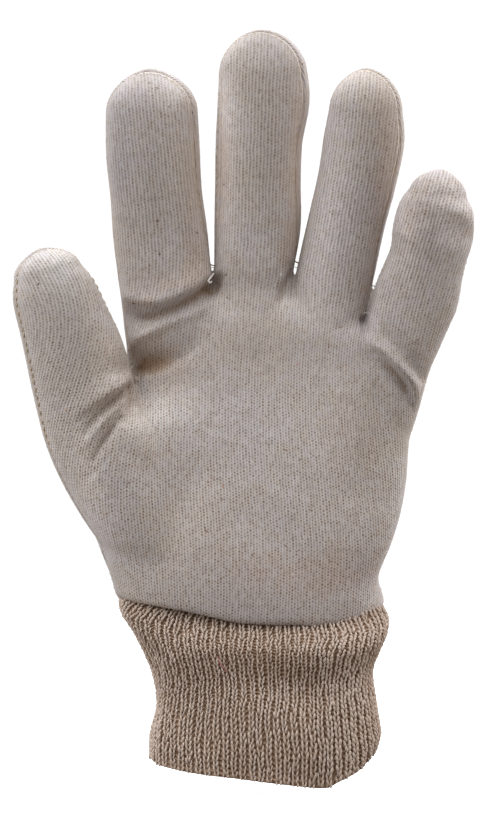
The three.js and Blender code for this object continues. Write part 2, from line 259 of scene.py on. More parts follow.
# x, y, z of each section's centre, then its width and depth; tip is the length of the rounded end and
# taper how pointed it is, and seam and twist set the seam behind the middle of the digit
digits = {
    "thumb": {"tip": 8.4, "taper": 1.45, "seam": -2.2, "twist": 3, "rows": [
        (-31, -5, 76, 32, 33), (-41, -6, 88, 34, 33), (-49.6, -7.5, 102, 34.6, 31),
        (-55.6, -9.5, 114, 33.6, 29), (-59.1, -11.5, 127, 33.4, 27), (-62.1, -13.5, 139, 32.6, 25.5),
        (-65.8, -15, 150, 30, 24.2), (-69.4, -16, 160, 27.4, 22.6), (-71.2, -16.4, 166, 22.6, 20)]},
    "index": {"tip": 14.6, "taper": 1.3, "seam": -3.4, "twist": -1.6, "rows": [
        (-27.5, 0, 124, 29, 23), (-29.2, -0.5, 136, 30.2, 24.5), (-30.6, -1.5, 147, 30.6, 25),
        (-31.7, -3, 158, 30.8, 24), (-33.1, -5, 169, 31, 22), (-34.3, -6.5, 180, 31.2, 21),
        (-35.5, -8.5, 192, 30.3, 20.5), (-36.5, -10, 205, 31, 20), (-36.9, -11, 218.8, 30.4, 19.5)]},
    "middle": {"tip": 15.3, "taper": 1.12, "seam": -3.2, "twist": -2.2, "rows": [
        (-3.5, 0, 132, 26, 21), (-3.8, -0.5, 146, 27, 23), (-3.5, -1, 158, 26.3, 23),
        (-3.3, -2, 168, 26.5, 22), (-2.1, -3, 182, 28.6, 21), (-2, -4, 196, 28.3, 20.5),
        (-1.6, -5, 210, 28.7, 20), (-0.1, -5.5, 223, 30.4, 19.5), (-0.3, -6, 231, 29.4, 19)]},
    "ring": {"tip": 14.4, "taper": 1.25, "seam": -2.8, "twist": -2.2, "rows": [
        (15.5, 0, 128, 24, 20), (19, -0.5, 142, 25.5, 22), (21.4, -1, 155, 25.6, 22),
        (24, -2, 168, 25.6, 21), (27.3, -3, 183, 25.4, 20), (30.7, -4, 197, 26, 19.5),
        (33, -5, 210, 26.8, 19), (33.5, -6, 219.3, 24.4, 18)]},
    "little": {"tip": 8.4, "taper": 1.6, "seam": 2, "twist": 0, "rows": [
        (34, 0, 108, 24, 20), (38.4, -0.5, 122, 25, 22), (42.6, -2, 137, 25, 22), (46.5, -4, 148, 26.4, 21),
        (50.4, -6, 159, 27.8, 20), (53.9, -8, 171, 25.4, 19), (55.4, -10, 178, 26.8, 18.5),
        (56.2, -11, 184, 26, 17.5), (56.7, -11.6, 188.6, 23.6, 17), (57.2, -12, 192, 19, 15)]},
}

# left x and z, right x and z, front y, back y, rise of the front and of the back, and how much lower the
# front's right side is
palmRows = [
    (-48.1, 57.5, 40.1, 56, -21.8, 21, -6.2, 2, 0), (-49.4, 62, 38.9, 61, -22.7, 21, -5.5, 2, 0),
    (-50.8, 67, 37.8, 66.5, -23.2, 20.5, -4.5, 2, 0), (-54.6, 76.6, 41.9, 76.6, -22.9, 19, -2, 1, 0),
    (-57.5, 87, 45.1, 87, -21.4, 17.5, 0, 0, 0), (-56, 97.5, 47, 98, -19.6, 16, 1, 1, 0),
    (-51, 107, 47.6, 107, -17.8, 15, 3, 3, 0), (-47.5, 115.5, 48.6, 115, -16.3, 14.2, 6, 6, 0),
    (-45.5, 124, 50.4, 120.5, -14.9, 13, 10, 10, 0), (-45.4, 132, 51.4, 124, -13.5, 11.2, 15, 15, 0),
    (-45.4, 139, 51.2, 126.5, -11.8, 8.4, 19.4, 19.4, 0), (-45, 143.5, 50.2, 128, -8.6, 5, 22.3, 22.3, 0),
    (-44, 145.5, 49.4, 128.6, -4.2, 1.6, 23.5, 23.5, 0),
]
wristRows = [
    (-37.8, 5.8, 36.6, 8.2, -25.5, 25.5, -9, -1, -3), (-37.4, 14, 38.2, 15, -26, 26, -6, -1, -2),
    (-35, 24, 37, 24, -25.2, 25.2, -2, -1, -1), (-36.7, 34.5, 35.5, 34.5, -24, 24, -3, 0, 0),
    (-39.8, 42, 37.6, 41.4, -24.6, 24, -4, 0, 0), (-42.8, 48.2, 40, 46.6, -25, 23.6, -5, 0, 0),
    (-46.8, 54.8, 41, 51.6, -22.4, 21, -6, 1.5, 0), (-47, 58.6, 39.8, 55.2, -20, 19, -6.2, 2, 0),
    (-44.8, 62, 37.2, 59.8, -18.2, 17.3, -6.2, 2, 0),
]

# each fold: x, z and how far the cloth stands out there, then how far the fold reaches to the left and to
# the right of that line, going along it
handFolds = [
    # the roll at the root of the index, and the valleys and ridges under it
    ([(-46, 158, 1.2), (-38.5, 156.2, 2.2), (-32.7, 156.8, 2.5), (-25, 160.2, 2.4),
      (-18.8, 163.6, 1.4)], 4.4, 1.5),
    ([(-45, 152.6, -1.2), (-39.4, 150.6, -2.4), (-32.7, 152.8, -3), (-26, 156, -3.4), (-21, 159.4, -3.4),
      (-18, 162.4, -2.4)], 1.5, 3),
    ([(-45, 141.8, 0.9), (-39, 145.8, 1.6), (-32.5, 149.6, 1.7), (-26, 152.4, 1.3),
      (-20.4, 155.2, 0.7)], 2.8, 2.2),
    ([(-44.4, 133.4, -3.2), (-40.5, 134.6, -4.8), (-36, 135.2, -4.8), (-31, 136.8, -3),
      (-26, 139.6, -1.2), (-21, 143.6, -0.4)], 4.6, 2.6),
    ([(-41, 130, -0.6), (-34, 130.6, -1), (-26, 131.6, -0.7)], 3.4, 5),
    # the fold at the root of the thumb, the thin ridge under it and the dark lines
    ([(-57.5, 121.2, 0.8), (-53.8, 124.2, 1.8), (-48.8, 127.4, 2.6), (-45.6, 129.7, 2.8),
      (-43, 133.5, 1.6)], 4.5, 0.8),
    ([(-58, 114.5, -0.7), (-54.1, 119.4, -1.6), (-50.2, 123.2, -2.2), (-46.9, 126, -2.6),
      (-44.2, 128.6, -2)], 0.9, 1.9),
    ([(-59, 108.8, 0.5), (-53, 116.8, 1.3), (-48.6, 121.8, 1.5), (-45, 126.4, 1)], 1.4, 1.1),
    ([(-56, 104.4, -0.7), (-53.2, 109.6, -1.7), (-50.2, 114, -2), (-47.3, 118.4, -1.2)], 0.8, 1.1),
    ([(-45.4, 117, -0.8), (-43.8, 120.6, -2.4), (-43.2, 124.4, -2.8), (-42.6, 129, -1.6)], 1.3, 1.7),
    ([(-47, 108, 1), (-42, 112.5, 2.8), (-35, 115.6, 3.4), (-27, 116, 2.4), (-19, 114, 1)], 7.5, 15),
    # the root of the little finger
    ([(35.6, 143, 0.8), (40.9, 138.8, 1.9), (46.5, 132.3, 2.3), (49.5, 128, 1.9),
      (50.6, 122.5, 0.8)], 2.4, 1.5),
    ([(37.4, 139.4, -0.8), (41.5, 135, -2.4), (44.4, 132, -2.8), (47.1, 128.4, -2.8),
      (48.3, 124.8, -1.4)], 1, 2.8),
    ([(40.3, 146, -0.5), (46.8, 137.4, -1.2), (51.4, 131.2, -1.6)], 3, 1.4),
    # the bend near the tip of the little finger
    ([(57, 187.6, 0.5), (62, 186.4, 1.2), (66, 184.4, 1.4), (69.4, 181, 0.9)], 4.2, 2.4),
    ([(58, 179, -0.3), (62.5, 178.8, -0.7), (66.8, 177.6, -0.6)], 2.4, 4),
    # the left side of the middle finger, drawn flat
    ([(-14.4, 176, -0.8), (-14.6, 190, -1.7), (-14.6, 212, -1.8), (-13.8, 230, -0.8)], 3.4, 3.6),
    # creases that run on below the slits, and the soft shelves under the fingers
    ([(5, 156, -0.5), (6.4, 160, -1.8), (8.6, 164.4, -2.4), (9.8, 168, -2)], 1.2, 1.2),
    ([(33, 146.4, -1.5), (32.6, 150.6, -2)], 1, 1),
    ([(-18.8, 160.2, -1.6), (-16.2, 160.2, -1.8), (-14.6, 164, -1)], 1.2, 1.4),
    ([(-20, 144, 0.9), (-11, 147.6, 1.3), (-2, 149.4, 1.1), (6, 148.6, 0.6)], 8, 9),
    ([(-8, 161, -0.6), (2, 160, -0.8)], 4, 4),
    ([(12, 148, 0.6), (20, 146.6, 1.1), (28, 143, 0.8)], 7, 7),
    # broad hollows and swells of the palm
    ([(-12, 118, 0.7), (2, 112, 0.9), (14, 106, 0.5)], 10, 9),
    ([(36, 122, -1.2), (35, 108, -1.8), (32, 94, -1.2)], 9, 6),
    ([(-22, 98, -0.9), (-30, 86, -1.1), (-34, 74, -0.6)], 7, 6),
    ([(38, 84, 0.7), (36, 72, 0.9), (30, 62, 0.5)], 6, 7),
    ([(-6, 84, -0.6), (6, 76, -0.8), (14, 66, -0.5)], 8, 8),
]
# painted light and shade on the cotton: paler where a highlight is painted, or darker under 0 where shade
# is painted: x, z and how much, then the reach to both sides
paintedHighlightAndShadeLines = [
    ([(-14.2, 172, 0.1), (-14.2, 186, 0.38), (-14.2, 206, 0.42), (-14.2, 222, 0.36),
      (-13.6, 234, 0.08)], 5, 4.5),
    ([(1, 182, -0.08), (1, 204, -0.15), (1, 224, -0.1)], 4.5, 4.5),
    ([(-36, 176, -0.05), (-36.4, 195, -0.11), (-36.6, 214, -0.06)], 5, 5),
    ([(10.6, 186, 0.06), (11.4, 198, 0.27), (12, 212, 0.27), (12, 224, 0.06)], 3, 3),
    ([(-5, 241, -0.1), (0, 243, -0.16), (5, 241, -0.1)], 4, 4),
    ([(-47.5, 172, -0.04), (-48, 190, -0.12), (-48.6, 210, -0.14), (-49, 226, -0.03)], 3, 5),
    ([(-31.5, 215, 0.05), (-30.2, 223, 0.16), (-30, 230, 0.16)], 6, 5),
    ([(26, 160, -0.05), (31, 180, -0.1), (34.6, 198, -0.14), (35.6, 210, -0.12), (36, 220, -0.02)], 5, 5),
    ([(18, 158, 0.1), (20.5, 178, 0.16), (23, 196, 0.12), (24, 212, 0.1)], 4, 4),
    ([(60, 192, 0.1), (62, 186, 0.25), (63, 180, 0.22), (61, 172, 0.1)], 6, 6),
    ([(-44, 112, 0.12), (-40, 117, 0.32), (-34, 119, 0.28), (-28, 119, 0.1)], 8, 8),
    ([(-42, 162, -0.05), (-36, 160.6, -0.14), (-28, 161.4, -0.14), (-21, 164, -0.05)], 2.5, 2.5),
    ([(-71, 167, 0.05), (-66, 171.5, 0.14), (-60, 169, 0.06)], 6, 6),
    ([(-65, 156, -0.05), (-63, 146, -0.1), (-61, 136, -0.05)], 5, 5),
    ([(-62.5, 117, 0.04), (-60.4, 109, 0.2), (-58, 99, 0.24), (-55, 88, 0.25), (-51, 76, 0.1)], 6, 6),
    ([(-52.5, 150, 0.04), (-50, 141, 0.1), (-48, 133, 0.04)], 4, 4),
    ([(66, 185, 0.04), (66.4, 178, 0.1), (64, 170, 0.04)], 3, 3),
    ([(52, 160, -0.07), (54.6, 170, -0.13), (56, 181, -0.1)], 4, 4),
    ([(34, 86, -0.04), (34, 100, -0.12), (33, 113, -0.05)], 7, 7),
    ([(27, 226, 0.05), (32, 230, 0.14), (37, 226, 0.05)], 5, 5),
    ([(45.4, 190, 0.05), (46.6, 182, 0.2), (47, 174, 0.1)], 3.5, 3.5),
    ([(-38, 100, 0.08), (-20, 106, 0.09), (0, 106, 0.08), (14, 115, 0.05), (30, 128, 0.09)], 14, 14),
    ([(43, 78, 0.02), (45, 92, 0.08), (46, 106, 0.02)], 4, 4),
    ([(-38, 134, 0.06), (-28, 136, 0.14), (-16, 138, 0.08)], 6, 6),
]
# the painted warmth of light and shade on the cotton: warmer where shade is painted, or cooler under 0
# where light is painted, in the same way
paintedLightWarmthLines = [
    ([(-39, 160, 0.1), (-30, 162, 0.14), (-23, 167, 0.13), (-22, 180, 0.1), (-22.5, 200, 0.1),
      (-23, 222, 0.04)], 5, 4),
    ([(8.5, 172, 0.1), (10.5, 190, 0.12), (11, 215, 0.12), (10, 236, 0.05)], 3.5, 3.5),
    ([(34, 158, 0.1), (36.5, 172, 0.12), (40, 190, 0.15), (41.5, 205, 0.15), (40, 222, 0.05)], 7, 4),
    ([(44, 160, 0.05), (47, 178, 0.08), (52, 190, 0.1), (58, 193, 0.08)], 6, 8),
    ([(-20, 68, 0.04), (-5, 67, 0.1), (10, 66, 0.11), (25, 67, 0.11), (35, 70, 0.05)], 9, 9),
    ([(-56, 100, -0.04), (-62, 125, -0.05), (-65, 150, -0.08), (-66, 168, -0.14)], 9, 7),
    ([(-44, 113, -0.06), (-35, 117, -0.12), (-27, 117, -0.06)], 6, 6),
    ([(43, 78, -0.04), (45, 92, -0.12), (46, 106, -0.04)], 4, 4),
]
wristFolds = [
    ([(-6, 33, -0.5), (4, 31, -1.3), (14, 30, -1.7), (22, 31, -1)], 6, 7),
    ([(2, 40.4, 0.4), (14, 39.4, 0.6), (24, 41, 0.5), (33, 44, 0.3)], 5, 4),
    ([(-30, 47, -1), (-36, 42, -1), (-38, 34, -0.6)], 5, 5),
    ([(-18, 30, -0.6), (-20, 20, -0.9), (-18, 10, -0.5)], 4, 5),
    ([(12, 20, 0.7), (14, 10, 0.9)], 6, 6),
]
# where the rib knit is pulled open, or closer under 0
openLines = [
    ([(-13, 42, 0.14), (0, 38.5, 0.27), (9, 37, 0.2)], 7, 7),
    ([(27, 8, -0.17), (28.5, 24, -0.19), (28.5, 42, -0.16)], 10, 8),
    ([(-6, 10, -0.08), (4, 16, -0.12), (6, 22, -0.08)], 7, 7),
]

hand = {
    "cloth": 1.7,
    "voxel": 0.92,
    "smoothings": 6,
    "digitSides": 48,
    "palmSides": 96,
    "digitSquareness": 2.25,
    "palmSquareness": 2.5,
    "seamFade": 4.5,        # how fast one digit's seam gives way to the next one's
    "tipTurns": (0.12, 1.5, 12),    # of a digit's rounded end: the first and last, and how many
    "foldFade": 4,          # the folds fade out this far in front of the seam
    "foldFacing": 0.5,      # and where the surface turns away from the palm side
    "foldPush": 1.5,        # how much more straight to the front than outwards they are pushed
    "slitDepth": 4.5,       # how far back the seam dips at the slits, and how wide
    "slitReach": 11,
    "creaseDepth": 0.45,    # the groove along the seam
    "creaseReach": 0.6,
    "belowRim": 12,
    "rimTurn": 4,           # the rim goes from its front line to its back line within this of y 0
    "rimRoll": 2.6,         # the rim is rolled in over this height, by this much
    "rimDepth": 1.2,
    "far": 30,              # from the seam: all beyond is the same
}
# the seam's place down the middle of the palm, how far that holds to both sides, and its twist
palmSeamGuide = {"line": [(-4, 0, 40), (-2, 0, 80), (2, 0, 120)], "reach": 44, "twist": 1.6}

# the lower edges of the hand and of the wrist on the palm side, x and z
rimFront = [
    (-50, 59.4), (-48.2, 58.8), (-43.2, 57.4), (-37.3, 56.4), (-30, 55.2), (-24.4, 54.2), (-19, 53),
    (-14.3, 51.9), (-9.6, 51), (-0.7, 50.3), (8.1, 50.2), (19.8, 50), (28.7, 51.4), (36.3, 54), (42, 57),
]
hemFront = [
    (-38.2, 9.6), (-37.2, 7), (-36.2, 5.2), (-32.7, 3.7), (-21.5, 1.5), (-9.6, 0.1), (5.1, -1.8),
    (19.3, -3.1), (24, -1.4), (31, 2.2), (35, 6.2), (36.6, 9.4), (38.2, 13),
]


def smoothRows(rows, steps):
    table = np.array(rows, float)
    ends = np.vstack([table[:1], table, table[-1:]])
    out = []
    for i in range(len(table) - 1):
        a, b, c, d = ends[i:i + 4]
        for t in np.arange(steps) / steps:
            out.append(b + t * (c - a + t * (2 * a - 5 * b + 4 * c - d + t * (3 * (b - c) + d - a))) / 2)
    return np.array(out + [table[-1]])


def squared(value, squareness):
    return np.sign(value) * np.abs(value) ** (2 / squareness)


def digitRings(digit):
    rows = smoothRows(digit["rows"], 6)
    axes = unit(np.gradient(rows[:, :3], axis=0))
    angle = np.linspace(0, 2 * math.pi, hand["digitSides"], endpoint=False)
    across = squared(np.cos(angle), hand["digitSquareness"])[:, None]
    deep = squared(np.sin(angle), hand["digitSquareness"])[:, None]

    def ringAt(centre, axis, width, depth):
        front = unit(towardsViewer - axis * (towardsViewer @ axis))
        side = np.cross(axis, front)
        return centre + across * side * width / 2 - deep * front * depth / 2

    rings = [ringAt(row[:3], axis, row[3], row[4]) for row, axis in zip(rows, axes)]
    last, axis = rows[-1], axes[-1]
    for turn in np.linspace(*hand["tipTurns"]):
        size = math.cos(turn) ** digit["taper"]
        centre = last[:3] + axis * digit["tip"] * math.sin(turn)
        rings.append(ringAt(centre, axis, last[3] * size, last[4] * size))
    return np.array(rings), rows[0, :3], last[:3] + axis * digit["tip"]


def wristRing(row, sides, squareness=hand["palmSquareness"]):
    left, leftZ, right, rightZ, front, back, frontRise, backRise, skew = row
    angle = np.linspace(0, 2 * math.pi, sides, endpoint=False)
    across = (squared(np.cos(angle), squareness) + 1) / 2
    out = squared(np.sin(angle), squareness)
    rise = np.where(out < 0, frontRise, backRise) * np.abs(np.sin(angle))
    drop = np.where(out < 0, skew * np.sin(2 * angle), 0)
    height = leftZ + (rightZ - leftZ) * across + rise - drop
    deep = (front + back) / 2 + out * (back - front) / 2
    return np.stack([left + (right - left) * across, deep, height], axis=1)


def addTube(rings, start, end):
    count, sides = rings.shape[:2]
    bpy.ops.mesh.primitive_uv_sphere_add(segments=sides, ring_count=count + 1, radius=1)
    tube = bpy.context.object
    place = pointsOf(tube) * mm
    level = np.rint(np.arccos(np.clip(-place[:, 2], -1, 1)) / math.pi * (count + 1)).astype(int)
    side = stepRound(place[:, 1], place[:, 0], sides)
    poles = [np.repeat(np.array(pole)[None, None], sides, 1) for pole in (start, end)]
    setPoints(tube, np.vstack([poles[0], rings, poles[1]])[level, side])
    return tube


# what a table of lines adds up to at each point, fading out where the surface turns to the back
def softLines(table, points, normals):
    facing = eased(-normals[:, 1] / hand["foldFacing"])
    here = points[:, [0, 2]]
    total = np.zeros(len(points))
    for line, leftReach, rightReach in table:
        path = smoothRows(line, 4)
        away = np.full(len(points), np.inf)
        out = np.zeros(len(points))
        isLeft = np.zeros(len(points), dtype=bool)
        for start, end in zip(path[:-1], path[1:]):
            step = (end - start)[:2]
            off = here - start[:2]
            along = np.clip(off @ step / (step @ step), 0, 1)
            gap = np.linalg.norm(off - along[:, None] * step, axis=1)
            nearer = gap < away
            away[nearer] = gap[nearer]
            out[nearer] = (start[2] + along * (end[2] - start[2]))[nearer]
            isLeft[nearer] = (step[0] * off[:, 1] - step[1] * off[:, 0] > 0)[nearer]
        total += out * np.exp(-(away / np.where(isLeft, leftReach, rightReach)) ** 2)
    return total * facing


# the slits between the fingers: x at the crotch and higher up, with their heights
slits = [(-17.1, 159.6, -19.5, 215), (9.8, 161, 16, 215), (33.6, 147.4, 43, 190)]


# height in y of the seam between the two panels
def seamHeight(x, z):
    height = np.zeros(len(x))
    total = np.zeros(len(x))
    guides = [(smoothRows(digit["rows"], 8)[:, :3], digit["rows"][4][3] / 2, digit["seam"], digit["twist"])
              for digit in digits.values()]
    palmLine = smoothRows(palmSeamGuide["line"], 12)
    guides.append((palmLine, palmSeamGuide["reach"], 0, palmSeamGuide["twist"]))
    for line, reach, seam, twist in guides:
        away = np.hypot(line[:, 0] - x[:, None], line[:, 2] - z[:, None])
        nearest = line[away.argmin(axis=1)]
        weight = np.exp(-hand["seamFade"] * (away.min(axis=1) / reach) ** 2) + 1e-9
        aside = np.clip((x - nearest[:, 0]) / reach, -1.2, 1.2)
        height += weight * (nearest[:, 1] + seam + twist * aside)
        total += weight
    for slitX, slitZ, _, _ in slits:
        dip = np.exp(-((x - slitX) ** 2 + (z - slitZ) ** 2) / hand["slitReach"] ** 2)
        height += total * hand["slitDepth"] * dip
    return height / total


def rimHeight(points):
    left, leftZ, right, rightZ, front, back, _, backRise, _ = palmRows[0]
    line = smoothRows(rimFront, 6)
    frontZ = np.interp(points[:, 0], line[:, 0], line[:, 1])
    across = np.clip((points[:, 0] - left) / (right - left), 0, 1)
    bow = np.sqrt(np.clip(1 - np.abs(2 * across - 1) ** hand["palmSquareness"], 0, 1))
    backZ = leftZ + (rightZ - leftZ) * across + backRise * bow
    return frontZ + (backZ - frontZ) * eased((points[:, 1] + hand["rimTurn"]) / (2 * hand["rimTurn"]))


# cuts a piece along a surface: its height is taken off one axis, so that a flat cut there follows it
def bisected(piece, axis, keepAbove, heights):
    points = pointsOf(piece)
    points[:, axis] -= heights(points)
    setPoints(piece, points)
    select(piece)
    bpy.ops.object.mode_set(mode="EDIT")
    bpy.ops.mesh.select_all(action="SELECT")
    across = tuple(1.0 if i == axis else 0.0 for i in range(3))
    bpy.ops.mesh.bisect(plane_co=(0, 0, 0), plane_no=across, clear_inner=keepAbove,
                        clear_outer=not keepAbove)
    bpy.ops.mesh.select_all(action="SELECT")
    bpy.ops.mesh.delete_loose()
    bpy.ops.object.mode_set(mode="OBJECT")
    points = pointsOf(piece)
    points[:, axis] += heights(points)
    setPoints(piece, points)


spread = {"width": 5.0, "reach": 3.0, "below": 9.0, "above": 4.0, "halvings": 30}


# x of points moved apart at the slits
def spreadAt(x, z):
    moved = x.copy()
    for lowX, lowZ, highX, highZ in slits:
        middle = np.interp(z, [lowZ, highZ], [lowX, highX])
        grown = spread["width"] * eased((z - lowZ + spread["below"]) / (spread["below"] + spread["above"]))
        moved += grown * eased((x - middle) / spread["reach"] / 2 + 0.5)
    return moved


# moves the fingers apart, so that remeshing doesn't close the slits, or back again
def spreadFingers(piece, back=False):
    points = pointsOf(piece)
    wanted, z = points[:, 0].copy(), points[:, 2]
    if not back:
        points[:, 0] = spreadAt(wanted, z)
    else:
        low, high = wanted - 3 * spread["width"] - 1, wanted.copy()
        for _ in range(spread["halvings"]):
            middle = (low + high) / 2
            isLow = spreadAt(middle, z) < wanted
            low, high = np.where(isLow, middle, low), np.where(isLow, high, middle)
        points[:, 0] = (low + high) / 2
    setPoints(piece, points)


def handForm():
    low = np.array(palmRows[0])
    low[[1, 3]] -= hand["belowRim"]
    rings = np.array([wristRing(row, hand["palmSides"]) for row in [low, *smoothRows(palmRows, 4)]])
    tubes = [addTube(rings, rings[0].mean(axis=0), rings[-1].mean(axis=0))]
    tubes += [addTube(*digitRings(digit)) for digit in digits.values()]
    for tube in tubes:
        select(tube)
        bpy.ops.object.mode_set(mode="EDIT")
        bpy.ops.mesh.select_all(action="SELECT")
        bpy.ops.mesh.remove_doubles(threshold=1e-6)
        bpy.ops.mesh.normals_make_consistent(inside=False)
        bpy.ops.object.mode_set(mode="OBJECT")
    select(*tubes)
    bpy.ops.object.join()
    form = bpy.context.object
    spreadFingers(form)
    applied(form, "REMESH", mode="VOXEL", voxel_size=hand["voxel"] * mm)
    applied(form, "SMOOTH", factor=0.5, iterations=hand["smoothings"])
    spreadFingers(form, back=True)
    return form


form = handForm()
points, normals = pointsOf(form), normalsOf(form)
ahead = (seamHeight(points[:, 0], points[:, 2]) - points[:, 1]) / hand["foldFade"]
relief = softLines(handFolds, points, normals) * eased(ahead)
# pushed mostly straight towards the viewer, so that no fold crosses itself
setPoints(form, points + unit(normals + hand["foldPush"] * towardsViewer) * relief[:, None])
# painted light and shade: the pale and warm lines are kept beside the folds' relief, for the cloth's colour
paintedLightTints = [softLines(table, points, normals) for table in (paintedHighlightAndShadeLines, paintedLightWarmthLines)]
storePoints(form, "foldDepthAndPaintedLight", np.stack([relief, *paintedLightTints], axis=1))
bisected(form, 2, True, rimHeight)
print("hand form:", len(form.data.vertices), "points")


# the cut cloth: x and z of places, how far the wales lean to the right there in degrees, and their spacing

waleLeans = [
    (-6, 60, 2, 0.95), (-40, 62, -4, 0.95), (30, 62, 2, 0.95), (-45, 85, -8, 0.95), (-20, 95, -2, 0.95),
    (10, 95, -4, 0.95), (40, 90, -5, 0.95), (-30, 115, 2, 0.95), (0, 125, -1, 0.95), (25, 125, -4, 0.95),
    (45, 118, -10, 1), (-47, 98, 4, 1), (-54, 112, 20, 1.05), (-59, 124, 28, 1.1), (-63, 136, 26, 1.12),
    (-71, 127, 5, 1.1), (-65, 150, -4, 1.12), (-68, 160, -24, 1.12), (-70, 172, -38, 1.1),
    (-29, 136, 0, 1.05), (-33, 147, 12, 1.1), (-28, 156, 18, 1.12), (-33, 170, -4, 1.12),
    (-35, 190, -5, 1.12), (-37, 225, -5, 1.12), (-3.5, 150, 0, 1.05), (-2.5, 180, 2, 1.12),
    (-1, 220, 2, 1.12), (18, 145, 4, 1), (24, 168, 9, 1.1), (30, 195, 9, 1.12), (34, 222, 6, 1.12),
    (38, 128, -2, 1), (43, 142, 10, 1.05), (48, 155, 17, 1.12), (53, 170, 18, 1.12), (56, 186, 14, 1.12),
]
knit = {"course": 1.03, "leanReach": 12, "flatShare": 0.5, "leastTrust": 0.05, "solverSteps": 700}


def waleLean(places):
    lean = np.zeros(len(places))
    spacing = np.zeros(len(places))
    total = np.zeros(len(places))
    for x, z, degrees, pitch in waleLeans:
        away = np.hypot(places[:, 0] - x, places[:, 2] - z) / knit["leanReach"]
        weight = np.exp(-away ** 2) + 1e-4 / (1 + away ** 4)
        lean += weight * math.radians(degrees)
        spacing += weight * pitch
        total += weight
    return lean / total, (spacing / total)[:, None]


# the cloth's own coordinates, along the courses and along the wales, each as even as the form allows
def knitCoordinates(panel, facing):
    mesh = panel.data
    mesh.calc_loop_triangles()
    corners = np.empty(len(mesh.loop_triangles) * 3, dtype=np.int32)
    mesh.loop_triangles.foreach_get("vertices", corners)
    corners = corners.reshape(-1, 3)
    points = pointsOf(panel)
    a, b, c = (points[corners[:, i]] for i in range(3))
    normal = np.cross(b - a, c - a)
    twice = np.maximum(np.linalg.norm(normal, axis=1), 1e-9)
    normal /= twice[:, None]
    slopes = np.stack([np.cross(normal, side) / twice[:, None] for side in (c - b, a - c, b - a)], axis=1)
    lean, pitch = waleLean((a + b + c) / 3)
    zero = np.zeros(len(lean))
    along = np.stack([np.sin(lean), zero, np.cos(lean)], axis=1)
    across = np.stack([np.cos(lean), zero, -np.sin(lean)], axis=1)
    flat = along - normal * np.sum(along * normal, axis=1, keepdims=True)
    seen = (facing * normal[:, 1:2] > 0) * np.cross(normal, across) * -facing
    wale = seen + knit["flatShare"] * flat
    trust = np.clip(np.linalg.norm(wale, axis=1), knit["leastTrust"], 1) * twice
    wale = unit(wale)
    course = np.cross(wale, normal) * -facing / pitch
    wale /= knit["course"]
    rows = np.repeat(corners, 3, axis=1).ravel()
    columns = np.tile(corners, (1, 3)).ravel()
    weights = (np.einsum("tik,tjk->tij", slopes, slopes) * trust[:, None, None]).ravel()
    count = len(points)
    keys, where = np.unique(rows.astype(np.int64) * count + columns, return_inverse=True)
    values = np.bincount(where, weights)
    rows, columns = keys // count, keys % count
    diagonal = np.maximum(values[rows == columns], 1e-9)
    solved = []
    for wanted, start in ((course, points[:, 0]), (wale, points[:, 2] / knit["course"])):
        pull = np.einsum("tik,tk->ti", slopes, wanted) * trust[:, None]
        pull = np.bincount(corners.ravel(), pull.ravel(), count)
        guess = start.copy()
        rest = pull - np.bincount(rows, values * guess[columns], count)
        ready = rest / diagonal
        way = ready.copy()
        power = rest @ ready
        for _ in range(knit["solverSteps"]):
            moved = np.bincount(rows, values * way[columns], count)
            step = power / (way @ moved)
            guess += step * way
            rest -= step * moved
            ready = rest / diagonal
            power, before = rest @ ready, power
            if power < 1e-8:
                break
            way = ready + (power / before) * way
        solved.append(guess)
    return solved


# the seam between the panels as a line of points, from the thumb's side round to the little finger's
def seamPath(panel, points):
    edges = np.array([edge.key for edge in panel.data.edges])
    uses = np.zeros(len(edges), dtype=int)
    index = {key: i for i, key in enumerate(map(tuple, edges))}
    for face in panel.data.polygons:
        for key in face.edge_keys:
            uses[index[key]] += 1
    isAbove = points[:, 2] > rimHeight(points) + 0.05
    nearby = {}
    for a, b in edges[(uses == 1) & isAbove[edges].all(axis=1)].tolist():
        nearby.setdefault(a, []).append(b)
        nearby.setdefault(b, []).append(a)
    here = min((i for i in nearby if len(nearby[i]) == 1), key=lambda i: points[i, 0])
    path, seen = [here], {here}
    while True:
        ahead = [i for i in nearby[here] if i not in seen]
        if not ahead:
            return points[path]
        here = ahead[0]
        path.append(here)
        seen.add(here)


def seamDistance(seam, points):
    tree = KDTree(len(seam))
    for i, place in enumerate(seam):
        tree.insert(place, i)
    tree.balance()
    return np.array([tree.find(point)[2] for point in points])


def cutPanel(name, facing):
    select(form)
    bpy.ops.object.duplicate()
    panel = bpy.context.object
    panel.name = panel.data.name = name
    bisected(panel, 1, facing > 0, lambda points: seamHeight(points[:, 0], points[:, 2]))
    points, normals = pointsOf(panel), normalsOf(panel)
    seam = seamPath(panel, points)
    away = seamDistance(seam, points)
    course, wale = knitCoordinates(panel, facing)
    storePoints(panel, "knit", np.stack([course, wale, np.minimum(away, hand["far"])], axis=1))
    above = np.clip(1 - (points[:, 2] - rimHeight(points)) / hand["rimRoll"], 0, 1)
    crease = hand["creaseDepth"] * np.exp(-(away / hand["creaseReach"]) ** 2)
    crease += hand["rimDepth"] * (1 - np.sqrt(1 - above ** 2))
    setPoints(panel, points - normals * crease[:, None])
    return panel, seam


palmPanel, palmSeam = cutPanel("palmPanel", -1)
backPanel, _ = cutPanel("backPanel", 1)
print("panels:", len(palmPanel.data.vertices), len(backPanel.data.vertices), "seam points:", len(palmSeam))


